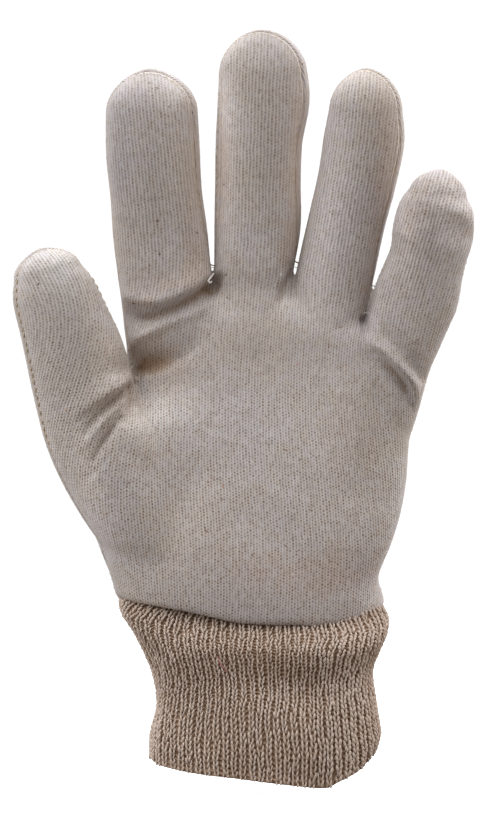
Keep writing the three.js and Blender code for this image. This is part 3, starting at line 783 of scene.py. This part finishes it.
stockinetLook = {
    "light": (0.573, 0.517, 0.508),
    "warm": (0.589, 0.508, 0.453),
    "dull": (0.475, 0.414, 0.395),
    # hole: painted shade seen through the knit's open holes
    "hole": (0.22, 0.142, 0.096),
    "seamThreadAndShade": (0.50, 0.38, 0.26),
    "husk": (0.20, 0.10, 0.05),
    # painted shade in the valleys between folds
    "paintedValleyShade": (0.84, 0.69, 0.53),
    "sheen": 0.12,
    "relief": 0.2,          # millimetres
    "digits": (0.138, 0.165),   # between these heights in metres the palm's cloth turns into the fingers'
    "high": (0.1, 0.165),
    "gapShade": 0.23,       # how much darker it is between two legs
    "slubShade": 0.65,      # how uneven the yarn is, and the cloth
    "cloudShade": 0.2,
    "holePower": 1.1,       # the holes are larger when it is lower, as it is on the fingers
    "holeStretch": 0.3,
    "plain": (1.0, 7.0),    # millimetres from the seam: how the pattern grows plainer there
    "tight": (3.0, 13.0),   # and how the palm's cloth is drawn tighter, so that its holes close
    "lip": (0.3, 1.1, 1.2, 2.6),    # the roll along the seam
    "lipHeight": 0.25,
}


def stockinetMaterial():
    look = stockinetLook
    material = newMaterial("unbleachedStockinet")
    course, wale, seam = split3(attribute("knit"))
    place = objectPlace()
    leg = course + (noise(place, 160, 2) - 0.5) * 0.7
    row = wale + (noise(place, 420, 1) - 0.5) * 0.9
    onDigit = stepped(split3(place)[2], *look["digits"])
    high = stepped(split3(place)[2], *look["high"])
    turning = maths("COSINE", row * (2 * math.pi))
    leg = leg + turning * maths("COSINE", leg * math.pi) * (0.12 - onDigit * 0.06)
    ridge = cosine(leg)
    # a hole shows between two legs once each course, half a course higher in every second gap
    rung = turning * maths("SINE", leg * math.pi) * 0.5 + 0.5
    depth = stepped(noise(joined3(leg, row * 0.7, 3.0), 1.0, 1), 0.34, 0.68)
    hole = rung ** (look["holePower"] - onDigit * look["holeStretch"])
    hole = (1 - ridge) * hole * (depth * 0.85 + 0.15)
    slub = noise(joined3(leg, row * 0.22, 0.0), 1.3, 3, 0.65)
    cloud = noise(place, 75, 3, 0.6)
    patch = noise(place, 24, 2, 0.5)
    blotch = noise(place, 260, 3, 0.6)
    contrast = 1 - (1 - stepped(seam, *look["plain"])) * 0.6
    shade = 1 - (1 - ridge) * contrast * look["gapShade"]
    shade = shade + (slub - 0.5) * contrast * look["slubShade"]
    shade = shade + (cloud - 0.5) * look["cloudShade"]
    warmth = stepped(patch + (blotch - 0.5) * 0.8, 0.32, 0.68)
    colour = blended(warmth, look["light"], look["warm"])
    colour = blended(stepped(cloud * 0.5 + blotch * 0.5, 0.5, 0.66) * 0.6, colour, look["dull"])
    colour = dyed(colour, shade, shade, shade)
    tight = (1 - stepped(seam, *look["tight"])) * (1 - high)
    strength = (blotch * 1.3 + 0.5) * (1 - high * 0.38) * (1 - tight * 0.75)
    # the knit's holes are painted dark, as painted shade seen through the open cloth
    colour = blended(hole * contrast * strength, colour, look["hole"])
    # brown flecks of seed husk, and a tan line along the seam: the thread that shows in it, and painted
    # shade in its groove
    fleck = stepped(noise(place, 620, 1), 0.75, 0.77) * stepped(cloud, 0.42, 0.5)
    colour = blended(fleck * 0.7, colour, look["husk"])
    line = 1 - stepped(seam, 0.25, 0.8)
    colour = blended(line * 0.15, colour, look["seamThreadAndShade"])
    # painted shade between folds: darker in the valleys, and warmed by the cloth on both sides
    depth, paintedLightFactor, warm = split3(attribute("foldDepthAndPaintedLight"))
    paintedValleyShade = stepped(0.0 - depth, 1.0, 4.2)
    colour = blended(paintedValleyShade * 0.9, colour, look["paintedValleyShade"], "MULTIPLY")
    # painted highlights and painted shade from the pale lines, tinted by the painted warmth of light and
    # shade
    paintedLightFactor = paintedLightFactor + 1
    colour = dyed(colour, paintedLightFactor * (1 - warm * 0.25), paintedLightFactor * (1 - warm * 0.7), paintedLightFactor * (1 - warm * 1.1))
    lip = stepped(seam, *look["lip"][:2]) * (1 - stepped(seam, *look["lip"][2:]))
    height = (ridge * 0.6 - hole * 0.6 + slub * 0.4) * look["relief"]
    height = height + lip * look["lipHeight"]
    clothMaterial(colour, bumped(height, 0.001, 1.0), 0.95, look["sheen"])
    return material


stockinet = stockinetMaterial()
palmFaces = [tuple(face.vertices) for face in palmPanel.data.polygons]
palmSurface = BVHTree.FromPolygons(pointsOf(palmPanel).tolist(), palmFaces)
for panel, replaced in ((palmPanel, "palm_panel"), (backPanel, "back_panel")):
    applied(panel, "SOLIDIFY", thickness=hand["cloth"] * mm, offset=-1)
    finished(panel, stockinet)
    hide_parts(replaced)
bpy.data.objects.remove(form)
print("cloth: the panels have their wall")


# yarn: closed tubes along tracks of points, each with its outward direction
def yarnTubes(name, tracks, outward, radii, sides, values):
    tangents = unit(np.gradient(tracks, axis=1))
    across = unit(np.cross(outward, tangents))
    raised = np.cross(tangents, across)
    turn = np.arange(sides) * 2 * math.pi / sides
    ring = (np.cos(turn)[:, None] * across[:, :, None] + np.sin(turn)[:, None] * raised[:, :, None])
    body = tracks[:, 1:-1, None] + ring[:, 1:-1] * radii[:, 1:-1, None, None]
    count, rings = len(tracks), tracks.shape[1] - 2
    points = np.concatenate([tracks[:, :1], body.reshape(count, -1, 3), tracks[:, -1:]], axis=1)
    each = points.shape[1]
    faces = []
    for j in range(sides):
        k = (j + 1) % sides
        faces.append((0, 1 + j, 1 + k, 1 + k))
        for level in range(rings - 1):
            low, high = 1 + level * sides, 1 + (level + 1) * sides
            faces.append((low + j, high + j, high + k, low + k))
        last = 1 + (rings - 1) * sides
        faces.append((last + j, each - 1, last + k, last + k))
    faces = (np.array(faces)[None] + (np.arange(count) * each)[:, None, None]).reshape(-1, 4)
    mesh = bpy.data.meshes.new(name)
    # the faces at both ends name one point twice, and are triangles
    faces = [tuple(dict.fromkeys(face)) for face in faces.tolist()]
    mesh.from_pydata((points.reshape(-1, 3) * mm).tolist(), [], faces)
    piece = bpy.data.objects.new(name, mesh)
    bpy.context.collection.objects.link(piece)
    storePoints(piece, "yarn", np.repeat(values, each, axis=0))
    return piece


# the rib-knit wrist: a purl ground, dark with painted shade in its gaps, and on it the face stitches, each
# of two legs of yarn

wrist = {
    "ribs": 76,
    "ribWidth": 2.7,
    "course": 1.5,
    "grid": 4,              # samples to a rib and to a course
    "squareness": 3.6,
    "ringSides": 720,
    "straightRib": 3,       # x of the rib that hangs straight down in front
    "cornerPull": 0.32,     # the ribs are drawn wider at the front corners
    "cornerStart": 0.72,
    "backPull": 1.14,       # and narrower behind
    "backStart": -2,
    "backReach": 10,
    "swell": 0.35,
    "legSides": 5,
    "legSpread": 0.218,     # of a rib's width, at the top of a leg
    "legRadius": 0.355,
    "legOut": -0.1,
    "ground": 0.52,         # depth of the purl ground under the stitches
    "groundStep": 3,        # rows of the grid to a row of the ground
    "groove": 0.15,         # depth of the ground's own ribs, to both sides of the middle
    "hemGround": 0.3,       # the part of the ground's depth that is left at the hem
    "wall": 2.5,
    "waver": 0.2,
    "fineWaver": 0.1,
    "lift": 0.16,           # how uneven the stitches lie in height
    "stagger": 0.5,         # of a course, from rib to rib
    # chance for each rib, and for each leg aside, outwards, upwards, in size and in tone
    "ribChance": 0.2,
    "legChance": (0.045, 0.05, 0.10, 0.15, 0.25),
    "hemReach": 22,         # the hem's line fades out over this height, and round the sides
    "hemTurn": 8,
    "seed": 7,
}
chance = np.random.default_rng(wrist["seed"])


# even noise from -1 to 1 over a grid that closes on itself across, in soft patches
def softField(rows, columns, tall, wide):
    seeds = chance.uniform(-1, 1, (rows // tall + 2, max(columns // wide, 1)))
    seeds = np.hstack([seeds, seeds[:, :1]])
    across = np.linspace(0, seeds.shape[1] - 1, columns, endpoint=False)
    upward = np.linspace(0, seeds.shape[0] - 1, rows)

    def between(values, table):
        low = np.minimum(values.astype(int), len(table) - 2)
        t = eased(values - low)[:, None]
        return table[low] * (1 - t) + table[low + 1] * t

    return between(across, between(upward, seeds).T).T


# the wrist's surface as an even grid of points and outward normals, courses upwards and ribs across
def wristSurface():
    rings = []
    columns = wrist["ribs"] * wrist["grid"]
    for row in smoothRows(wristRows, 10):
        ring = wristRing(row, wrist["ringSides"], wrist["squareness"])
        ring = np.vstack([ring, ring[:1]])
        aside = np.abs(ring[:-1, 0] - (row[0] + row[2]) / 2) / (row[2] - row[0]) * 2
        corner = np.clip((aside - wrist["cornerStart"]) / (1 - wrist["cornerStart"]), 0, 1)
        behind = np.clip((ring[:-1, 1] - wrist["backStart"]) / wrist["backReach"], 0, 1)
        pull = (1 - wrist["cornerPull"] * corner) * (1 - behind) + wrist["backPull"] * behind
        length = lengthsOf(np.linalg.norm(np.diff(ring, axis=0), axis=1) * pull)
        half = wrist["ringSides"] // 2
        front = np.interp(wrist["straightRib"], ring[half:, 0], length[half:])
        even = (front + np.linspace(0, length[-1], columns, endpoint=False)) % length[-1]
        rings.append(placesAlong(ring, length, even))
    rings = np.array(rings)
    height = lengthsOf(np.linalg.norm(np.diff(rings, axis=0), axis=2).mean(axis=1))
    courses = int(height[-1] / wrist["course"])
    even = np.linspace(0, height[-1], courses * wrist["grid"] + 1)
    at = np.interp(even, height, np.arange(len(height)))
    low = np.minimum(at.astype(int), len(rings) - 2)
    part = (at - low)[:, None, None]
    grid = rings[low] * (1 - part) + rings[low + 1] * part
    normals = gridNormals(grid)
    relief = softLines(wristFolds, grid.reshape(-1, 3), normals.reshape(-1, 3)).reshape(grid.shape[:2])
    grid += normals * (relief + wrist["swell"] * softField(*grid.shape[:2], 40, 36))[..., None]
    # the hem's own line in front, which fades out upwards
    line = smoothRows(hemFront, 4)
    hem = np.interp(grid[0, :, 0], line[:, 0], line[:, 1]) - grid[0, :, 2]
    rise = np.linspace(0, height[-1], len(grid)) / wrist["hemReach"]
    fade = np.clip(1 - rise, 0, 1) ** 2
    grid[..., 2] += hem * eased(-grid[0, :, 1] / wrist["hemTurn"]) * fade[:, None]
    return grid, gridNormals(grid), courses


def gridNormals(grid):
    around = np.roll(grid, -1, axis=1) - np.roll(grid, 1, axis=1)
    return unit(np.cross(around, np.gradient(grid, axis=0)))


def sampled(grid, across, upward):
    across = across * wrist["grid"]
    upward = np.clip(upward * wrist["grid"], 0, len(grid) - 1.001)
    low, left = np.floor(upward).astype(int), np.floor(across).astype(int)
    v, u = (upward - low)[..., None], (across - left)[..., None]
    columns = grid.shape[1]
    left, right = left % columns, (left + 1) % columns
    return (grid[low, left] * (1 - u) + grid[low, right] * u) * (1 - v) + (
        grid[low + 1, left] * (1 - u) + grid[low + 1, right] * u) * v


# a ring mesh whose outer side climbs the ribs and whose inner side comes down again
def wristGround(grid, normals, phase):
    columns = grid.shape[1]
    rows = np.arange(0, len(grid), wrist["groundStep"])
    groove = wrist["groove"] * (1 + np.cos(2 * math.pi * np.arange(columns) / wrist["grid"]))
    rimmed = np.clip(rows / wrist["grid"] / 2, wrist["hemGround"], 1)
    outer = grid[rows] - normals[rows] * (rimmed[:, None] * (wrist["ground"] + groove))[..., None]
    inner = grid[rows[::-1]] - normals[rows[::-1]] * wrist["wall"]
    loop = np.vstack([outer, inner])
    count = len(loop)
    bpy.ops.mesh.primitive_torus_add(major_segments=columns, minor_segments=count, major_radius=1,
                                     minor_radius=0.3)
    ground = bpy.context.object
    ground.name = ground.data.name = "wristGround"
    place = pointsOf(ground) * mm
    major = stepRound(place[:, 1], place[:, 0], columns)
    minor = stepRound(place[:, 2], np.hypot(place[:, 0], place[:, 1]) - 1, count)
    setPoints(ground, loop[minor, major])
    isOuter = minor < len(rows)
    climb = np.where(isOuter, minor, count - minor) * wrist["groundStep"] / wrist["grid"]
    climb -= phase[major // wrist["grid"]]
    storePoints(ground, "knit", np.stack([major / wrist["grid"], climb, isOuter * 1.0], axis=1))
    return ground


# one leg of a stitch: place up the stitch, aside, out and radius, from end to end
stitchLeg = np.array([(-0.34, 0.64, -0.5, 0), (-0.14, 0.68, -0.11, 0.7), (0.22, 0.80, 0.13, 1.0),
                      (0.62, 1.15, 0.18, 1.0), (1.02, 1.22, -0.05, 0.7), (1.22, 1.10, -0.4, 0)])


def stitches(name, grid, normals, ribs, courses, phase, waver, lift, tone):
    asideChance, outChance, riseChance, sizeChance, toneChance = wrist["legChance"]
    rib, course, side = [a.ravel() for a in np.meshgrid(ribs, np.arange(courses), [-1, 1], indexing="ij")]
    jitter = chance.normal(0, 1, (len(rib), 4))
    shift = waver[course, rib] + asideChance * jitter[:, 0]
    out = wrist["legOut"] + lift[course, rib] + outChance * jitter[:, 1]
    rise = course + phase[rib] + riseChance * jitter[:, 2]
    width = np.linalg.norm(sampled(grid, rib + 1.0, rise) - sampled(grid, rib * 1.0, rise), axis=1)
    pulled = softLines(openLines, sampled(grid, rib + 0.5, rise), sampled(normals, rib + 0.5, rise))
    size = 1 + sizeChance * jitter[:, 3] - pulled
    size *= wrist["legRadius"] * np.sqrt(width / wrist["ribWidth"])
    across = (rib + 0.5 + shift)[:, None] + side[:, None] * stitchLeg[:, 1] * wrist["legSpread"]
    upward = rise[:, None] + stitchLeg[:, 0]
    outward = sampled(normals, across, upward)
    tracks = sampled(grid, across, upward) + outward * (out[:, None] + stitchLeg[:, 2])[..., None]
    shade = tone[course, rib] + toneChance * chance.normal(0, 1, len(rib))
    values = np.stack([shade, course + 0.3 * rib, side * 1.0], axis=1)
    return yarnTubes(name, tracks, outward, size[:, None] * stitchLeg[:, 3], wrist["legSides"], values)


ribLook = {
    # deep: painted shade in the gaps of the purl ground
    "deep": (0.115, 0.046, 0.016),
    "purl": (0.66, 0.462, 0.328),
    "inside": (0.42, 0.335, 0.265),
    "dark": (0.50, 0.382, 0.307),
    "light": (0.605, 0.49, 0.413),
    "sheen": 0.08,
}


def purlMaterial():
    material = newMaterial("rib knit ground")
    across, upward, outside = split3(attribute("knit"))
    place = objectPlace()
    # painted shade: the ground is darkened towards the deep colour between its rungs and in the gaps
    # between the ribs
    rung = cosine(upward)
    gap = cosine(across)
    fuzz = noise(place, 900, 2)
    level = 0.4 + rung * 0.5 + (fuzz - 0.5) * 0.5 - gap * 0.2
    colour = blended(between0and1(level), ribLook["deep"], ribLook["purl"])
    colour = blended(outside, ribLook["inside"], colour)
    clothMaterial(colour, bumped(rung + fuzz * 0.4, 0.0005), 0.95, ribLook["sheen"])
    return material


def ribYarnMaterial():
    material = newMaterial("beige rib yarn")
    tone, along, side = split3(attribute("yarn"))
    place = objectPlace()
    cloud = noise(place, 60, 3)
    fibre = noise(joined3(along * 3, tone * 10, side), 2.5, 2)
    grain = noise(place, 1400, 2)
    level = 0.5 + tone * 0.18 + (cloud - 0.5) * 0.9 + (grain - 0.5) * 0.4
    colour = blended(between0and1(level), ribLook["dark"], ribLook["light"])
    clothMaterial(colour, bumped(fibre + grain, 0.0002, 0.6), 0.95, ribLook["sheen"])
    return material


def ribKnitWrist():
    grid, normals, courses = wristSurface()
    ribs = wrist["ribs"]
    phase = wrist["stagger"] * (np.arange(ribs) % 2 - 0.5) + wrist["ribChance"] * chance.normal(0, 1, ribs)
    ground = wristGround(grid, normals, phase)
    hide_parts("knit_wrist")
    finished(ground, purlMaterial())
    faces = len(ground.data.polygons)
    waver = wrist["waver"] * softField(courses, ribs, 6, 5)
    waver += wrist["fineWaver"] * softField(courses, ribs, 2, 1)
    lift = wrist["lift"] * softField(courses, ribs, 7, 3)
    tone = softField(courses, ribs, 5, 4) + 0.5 * softField(courses, ribs, 20, 1)
    yarn = ribYarnMaterial()
    quarters = ("ribsPalmLittleSide", "ribsBackLittleSide", "ribsBackThumbSide", "ribsPalmThumbSide")
    for name, own in zip(quarters, np.split(np.arange(ribs), 4)):
        piece = stitches(name, grid, normals, own, courses, phase, waver, lift, tone)
        finished(piece, yarn)
        faces += len(piece.data.polygons)
    print("wrist:", courses, "courses,", faces, "faces")


ribKnitWrist()


# the small things: the seam's stitches, husks and neps in the cotton, thread ends and loose fibres

trims = {
    "stitchPitch": 2.6,
    "stitchLength": 1.75,
    "stitchRadius": 0.27,
    "stitchInside": 1.5,    # from the seam, on the palm panel
    "stitchSlant": 0.8,
    "stitchChance": 0.2,
    # the stitches lie open along the outer side of the thumb and are drawn into the cloth elsewhere
    "stitchLift": {"elsewhere": -0.2, "thumb": 0.12, "lowThumb": -0.32},
    "thumbEdge": -50,       # the thumb's stitches are left of this x and between these heights
    "thumbFoot": 112,
    "thumbTop": 168,
    "thumbFade": 6,
    "fibres": 5200,
    "fibreSink": 0.08,
    "fibreRadius": 0.035,
    "fibreLength": (0.4, 1.3),
    "fibreBend": (-0.8, 0.8),
    "fibreRise": (0.15, 0.8),
    "stitch": (0.57, 0.43, 0.28),
    "fibre": (0.62, 0.56, 0.51),
    "husk": (0.16, 0.075, 0.035),
    "nep": (0.74, 0.69, 0.65),
    "rust": (0.66, 0.33, 0.20),
    "red": (0.36, 0.13, 0.12),
}
# x, z and size of each, seen from the palm side
husks = [
    (-42.9, 155.8, 0.5), (-34.3, 171.9, 0.42), (-12.5, 165.3, 0.45), (-12.2, 157.7, 0.34),
    (-73.9, 162, 0.4), (-23.4, 218.6, 0.42), (-13.2, 195, 0.3), (21.3, 141.7, 0.34), (44.1, 182.8, 0.3),
    (-70.6, 117.2, 0.3), (-20.6, 160.6, 0.4), (-35.5, 154.6, 0.28), (33, 224, 0.3), (-6, 120, 0.26),
    (15, 88, 0.28),
]
neps = [
    (5.6, 165, 0.6), (3.6, 161.6, 0.5), (-9, 139.6, 0.45), (9.4, 66.8, 0.42), (30, 190.5, 0.4),
    (-29, 196, 0.45), (-1, 92, 0.42), (-52, 131, 0.4), (46, 160, 0.38), (18, 104, 0.4),
]
rusts = [
    (-13.5, 96, 0.42), (-51.8, 138.9, 0.3), (-64.7, 121.1, 0.36), (11.2, 136, 0.34), (38, 150, 0.28),
]


def plainMaterial(name, colour):
    material = newMaterial(name)
    grain = noise(objectPlace(), 2500, 2)
    deep = tuple(channel * 0.72 for channel in colour)
    clothMaterial(blended(grain, deep, colour), bumped(grain, 0.0001, 0.6), 0.9, 0.2)
    return material


def onSurface(places):
    spots, directions = [], []
    for x, z in places:
        spot, direction, _, _ = palmSurface.ray_cast(Vector((x, -80, z)), Vector((0, 1, 0)))
        if spot is None:
            spot, direction, _, _ = palmSurface.find_nearest(Vector((x, -10, z)))
        spots.append(spot)
        directions.append(direction)
    return np.array(spots), np.array(directions)


# thin tubes of one colour; the outward directions and the radii may be the same for all of them
def strands(name, tracks, outward, radii, sides, material):
    outward = np.broadcast_to(outward, tracks.shape)
    radii = np.broadcast_to(radii, tracks.shape[:2])
    finished(yarnTubes(name, tracks, outward, radii, sides, np.zeros((len(tracks), 3))), material)


def specks(name, table, material):
    table = np.array(table)
    spots, outward = onSurface(table[:, :2])
    lean = unit(np.cross(outward, chance.normal(0, 1, outward.shape)))
    reach = np.array([-1, -0.72, 0, 0.72, 1])
    tracks = spots[:, None] + lean[:, None] * (table[:, 2, None] * reach)[..., None]
    radii = table[:, 2, None] * np.array([0, 0.42, 0.6, 0.42, 0])
    strands(name, tracks, outward[:, None], radii, 6, material)


def seamStitches():
    line = palmSeam[::2]
    length = lengthsOf(np.linalg.norm(np.diff(line, axis=0), axis=1))
    count = int(length[-1] / trims["stitchPitch"])
    starts = np.arange(count) + trims["stitchChance"] * chance.uniform(-1, 1, count)
    reach = np.array([0, 0.12, 0.5, 0.88, 1])
    starts = starts[:, None] * trims["stitchPitch"]
    along = placesAlong(line, length, starts + reach * trims["stitchLength"])
    ahead = unit(np.gradient(along, axis=1)).reshape(-1, 3)
    spots, outward = [], []
    for place, tangent, part in zip(along.reshape(-1, 3), ahead, np.tile(reach, count)):
        direction = np.array(palmSurface.find_nearest(Vector(place))[1])
        inward = unit(np.cross(direction, tangent))
        inward *= -np.sign(inward[1]) if abs(inward[1]) > 1e-6 else 1
        inside = trims["stitchInside"] + trims["stitchSlant"] * (part - 0.5)
        spot, direction, _, _ = palmSurface.find_nearest(Vector(place + inward * inside))
        spots.append(spot)
        outward.append(direction)
    spots = np.array(spots).reshape(count, -1, 3)
    outward = np.array(outward).reshape(count, -1, 3)
    x, z = spots[:, 2, 0], spots[:, 2, 2]
    isThumb, isBelowTop, isLow = (
        np.clip((trims[edge] - place) / trims["thumbFade"], 0, 1)
        for edge, place in (("thumbEdge", x), ("thumbTop", z), ("thumbFoot", z)))
    isThumb = isThumb * isBelowTop
    elsewhere, thumb, lowThumb = trims["stitchLift"].values()
    lift = elsewhere + (thumb - elsewhere + (lowThumb - thumb) * isLow) * isThumb
    tracks = spots + outward * (lift[:, None] + np.array([-0.25, 0, 0.08, 0, -0.25]))[..., None]
    radii = trims["stitchRadius"] * np.array([0, 0.8, 1, 0.8, 0])
    strands("seamStitches", tracks, outward, radii, 5, plainMaterial("tanThread", trims["stitch"]))


# x, y, z along each: the loop at the index, the wisp at the little finger and a fibre in the wrist
looseEnds = {
    "crotchLoop": {"radius": 0.3, "colour": trims["nep"], "slot": "stockinet", "line": [
        (-16.4, -8.4, 166), (-17, -10.4, 165), (-17.8, -11.6, 164), (-18.3, -12, 163.2),
        (-17.6, -12.4, 162.6), (-17, -12, 163.3)]},
    "crotchWisp": {"radius": 0.1, "colour": trims["nep"], "slot": "stockinet", "line": [
        (35.4, -8, 153.4), (34.4, -9, 152.6), (33.4, -9.4, 152.8), (32.4, -9, 152.2)]},
    "redFibre": {"radius": 0.2, "colour": trims["red"], "slot": "rib_knit", "line": [
        (-15.2, -26.6, 40.4), (-14.6, -27, 38.6), (-13.8, -27.1, 37), (-12.6, -26.9, 35.8),
        (-12, -26.4, 34.6)]},
}


def threadEnds():
    for name, end in looseEnds.items():
        track = smoothRows(end["line"], 4)
        radii = end["radius"] * np.sin(np.linspace(0, math.pi, len(track))) ** 0.3
        material = plainMaterial(name, end["colour"])
        strands(name, track[None], towardsViewer, radii, 6, material)


def looseFibres():
    spots, directions = [], []
    for panel in (palmPanel, backPanel):
        points, normals = pointsOf(panel), normalsOf(panel)
        outside = len(points) // 2
        chosen = chance.choice(outside, trims["fibres"] // 2, replace=False)
        spots.append(points[chosen])
        directions.append(normals[chosen])
    spots, outward = np.vstack(spots), np.vstack(directions)
    aside = unit(np.cross(outward, chance.normal(0, 1, outward.shape)))
    bend = np.cross(outward, aside) * chance.uniform(*trims["fibreBend"], (len(spots), 1))
    length = chance.uniform(*trims["fibreLength"], (len(spots), 1))
    rise = chance.uniform(*trims["fibreRise"], (len(spots), 1)) ** 1.5
    tracks = []
    for t in (0, 0.15, 0.5, 0.85, 1):
        arched = aside * t + bend * t * t + outward * (rise * 4 * t * (1 - 0.7 * t) * 0.5)
        tracks.append(spots + length * arched - outward * trims["fibreSink"])
    radii = trims["fibreRadius"] * np.array([0, 1, 1, 0.7, 0])
    material = plainMaterial("cottonFibre", trims["fibre"])
    strands("looseFibres", np.stack(tracks, axis=1), outward[:, None], radii, 3, material)


seamStitches()
specks("seedHusks", husks, plainMaterial("seedHusk", trims["husk"]))
specks("cottonNeps", neps, plainMaterial("cottonNep", trims["nep"]))
specks("rustFlecks", rusts, plainMaterial("rustFleck", trims["rust"]))
threadEnds()
looseFibres()
print("trims: stitches, specks and fibres")


# the studio

def lightStudio():
    bpy.ops.object.camera_add(location=Vector(studio["target"]) * mm)
    camera = bpy.context.object
    camera.data.lens = studio["lens"]
    camera.location.y = -studio["viewHeight"] * mm * studio["lens"] / studio["sensor"]
    camera.data.clip_end = 50
    aimed(camera, studio["target"])
    bpy.context.scene.camera = camera

    world = bpy.data.worlds.new("softStudio")
    world.use_nodes = True
    Shade.tree = world.node_tree
    world.node_tree.nodes.clear()
    x, y, z = split3(Shade(node("ShaderNodeTexCoord").outputs["Generated"]))
    glows = [0, 0, 0]
    for towardX, towardY, towardZ, strength, cool in studio["softBoxes"]:
        box = maths("MAXIMUM", x * towardX + y * towardY + z * towardZ, 0.0) ** studio["softness"]
        for i, tint in enumerate((1 - cool, 1, 1 + cool)):
            glows[i] = box * (strength * tint) + glows[i]
    isSeen = Shade(node("ShaderNodeLightPath").outputs["Is Camera Ray"])
    glows = joined3(*[glow + isSeen * (studio["backdrop"] - glow) for glow in glows])
    background = node("ShaderNodeBackground", None, {"Color": glows, "Strength": 1.0})
    node("ShaderNodeOutputWorld", None, {"Surface": Shade(background.outputs[0])})
    bpy.context.scene.world = world

    bpy.ops.mesh.primitive_plane_add(size=studio["floorSize"], location=(0, 0, studio["floorLevel"] * mm))
    floor = bpy.context.object
    floor.name = "floor"
    floor.data.materials.append(newMaterial("paleFloor"))
    sockets = {"Base Color": (0.9, 0.9, 0.9, 1), "Roughness": 0.9, "Emission Color": (1, 1, 1, 1),
               "Emission Strength": studio["floorGlow"]}
    shader = node("ShaderNodeBsdfPrincipled", None, sockets)
    node("ShaderNodeOutputMaterial", None, {"Surface": Shade(shader.outputs[0])})
    # the soft boxes already hold the light that comes back up from the floor
    floor.visible_diffuse = floor.visible_glossy = floor.visible_shadow = False
    bpy.context.scene.view_settings.view_transform = "Standard"


lightStudio()
print("studio: camera, light and floor")
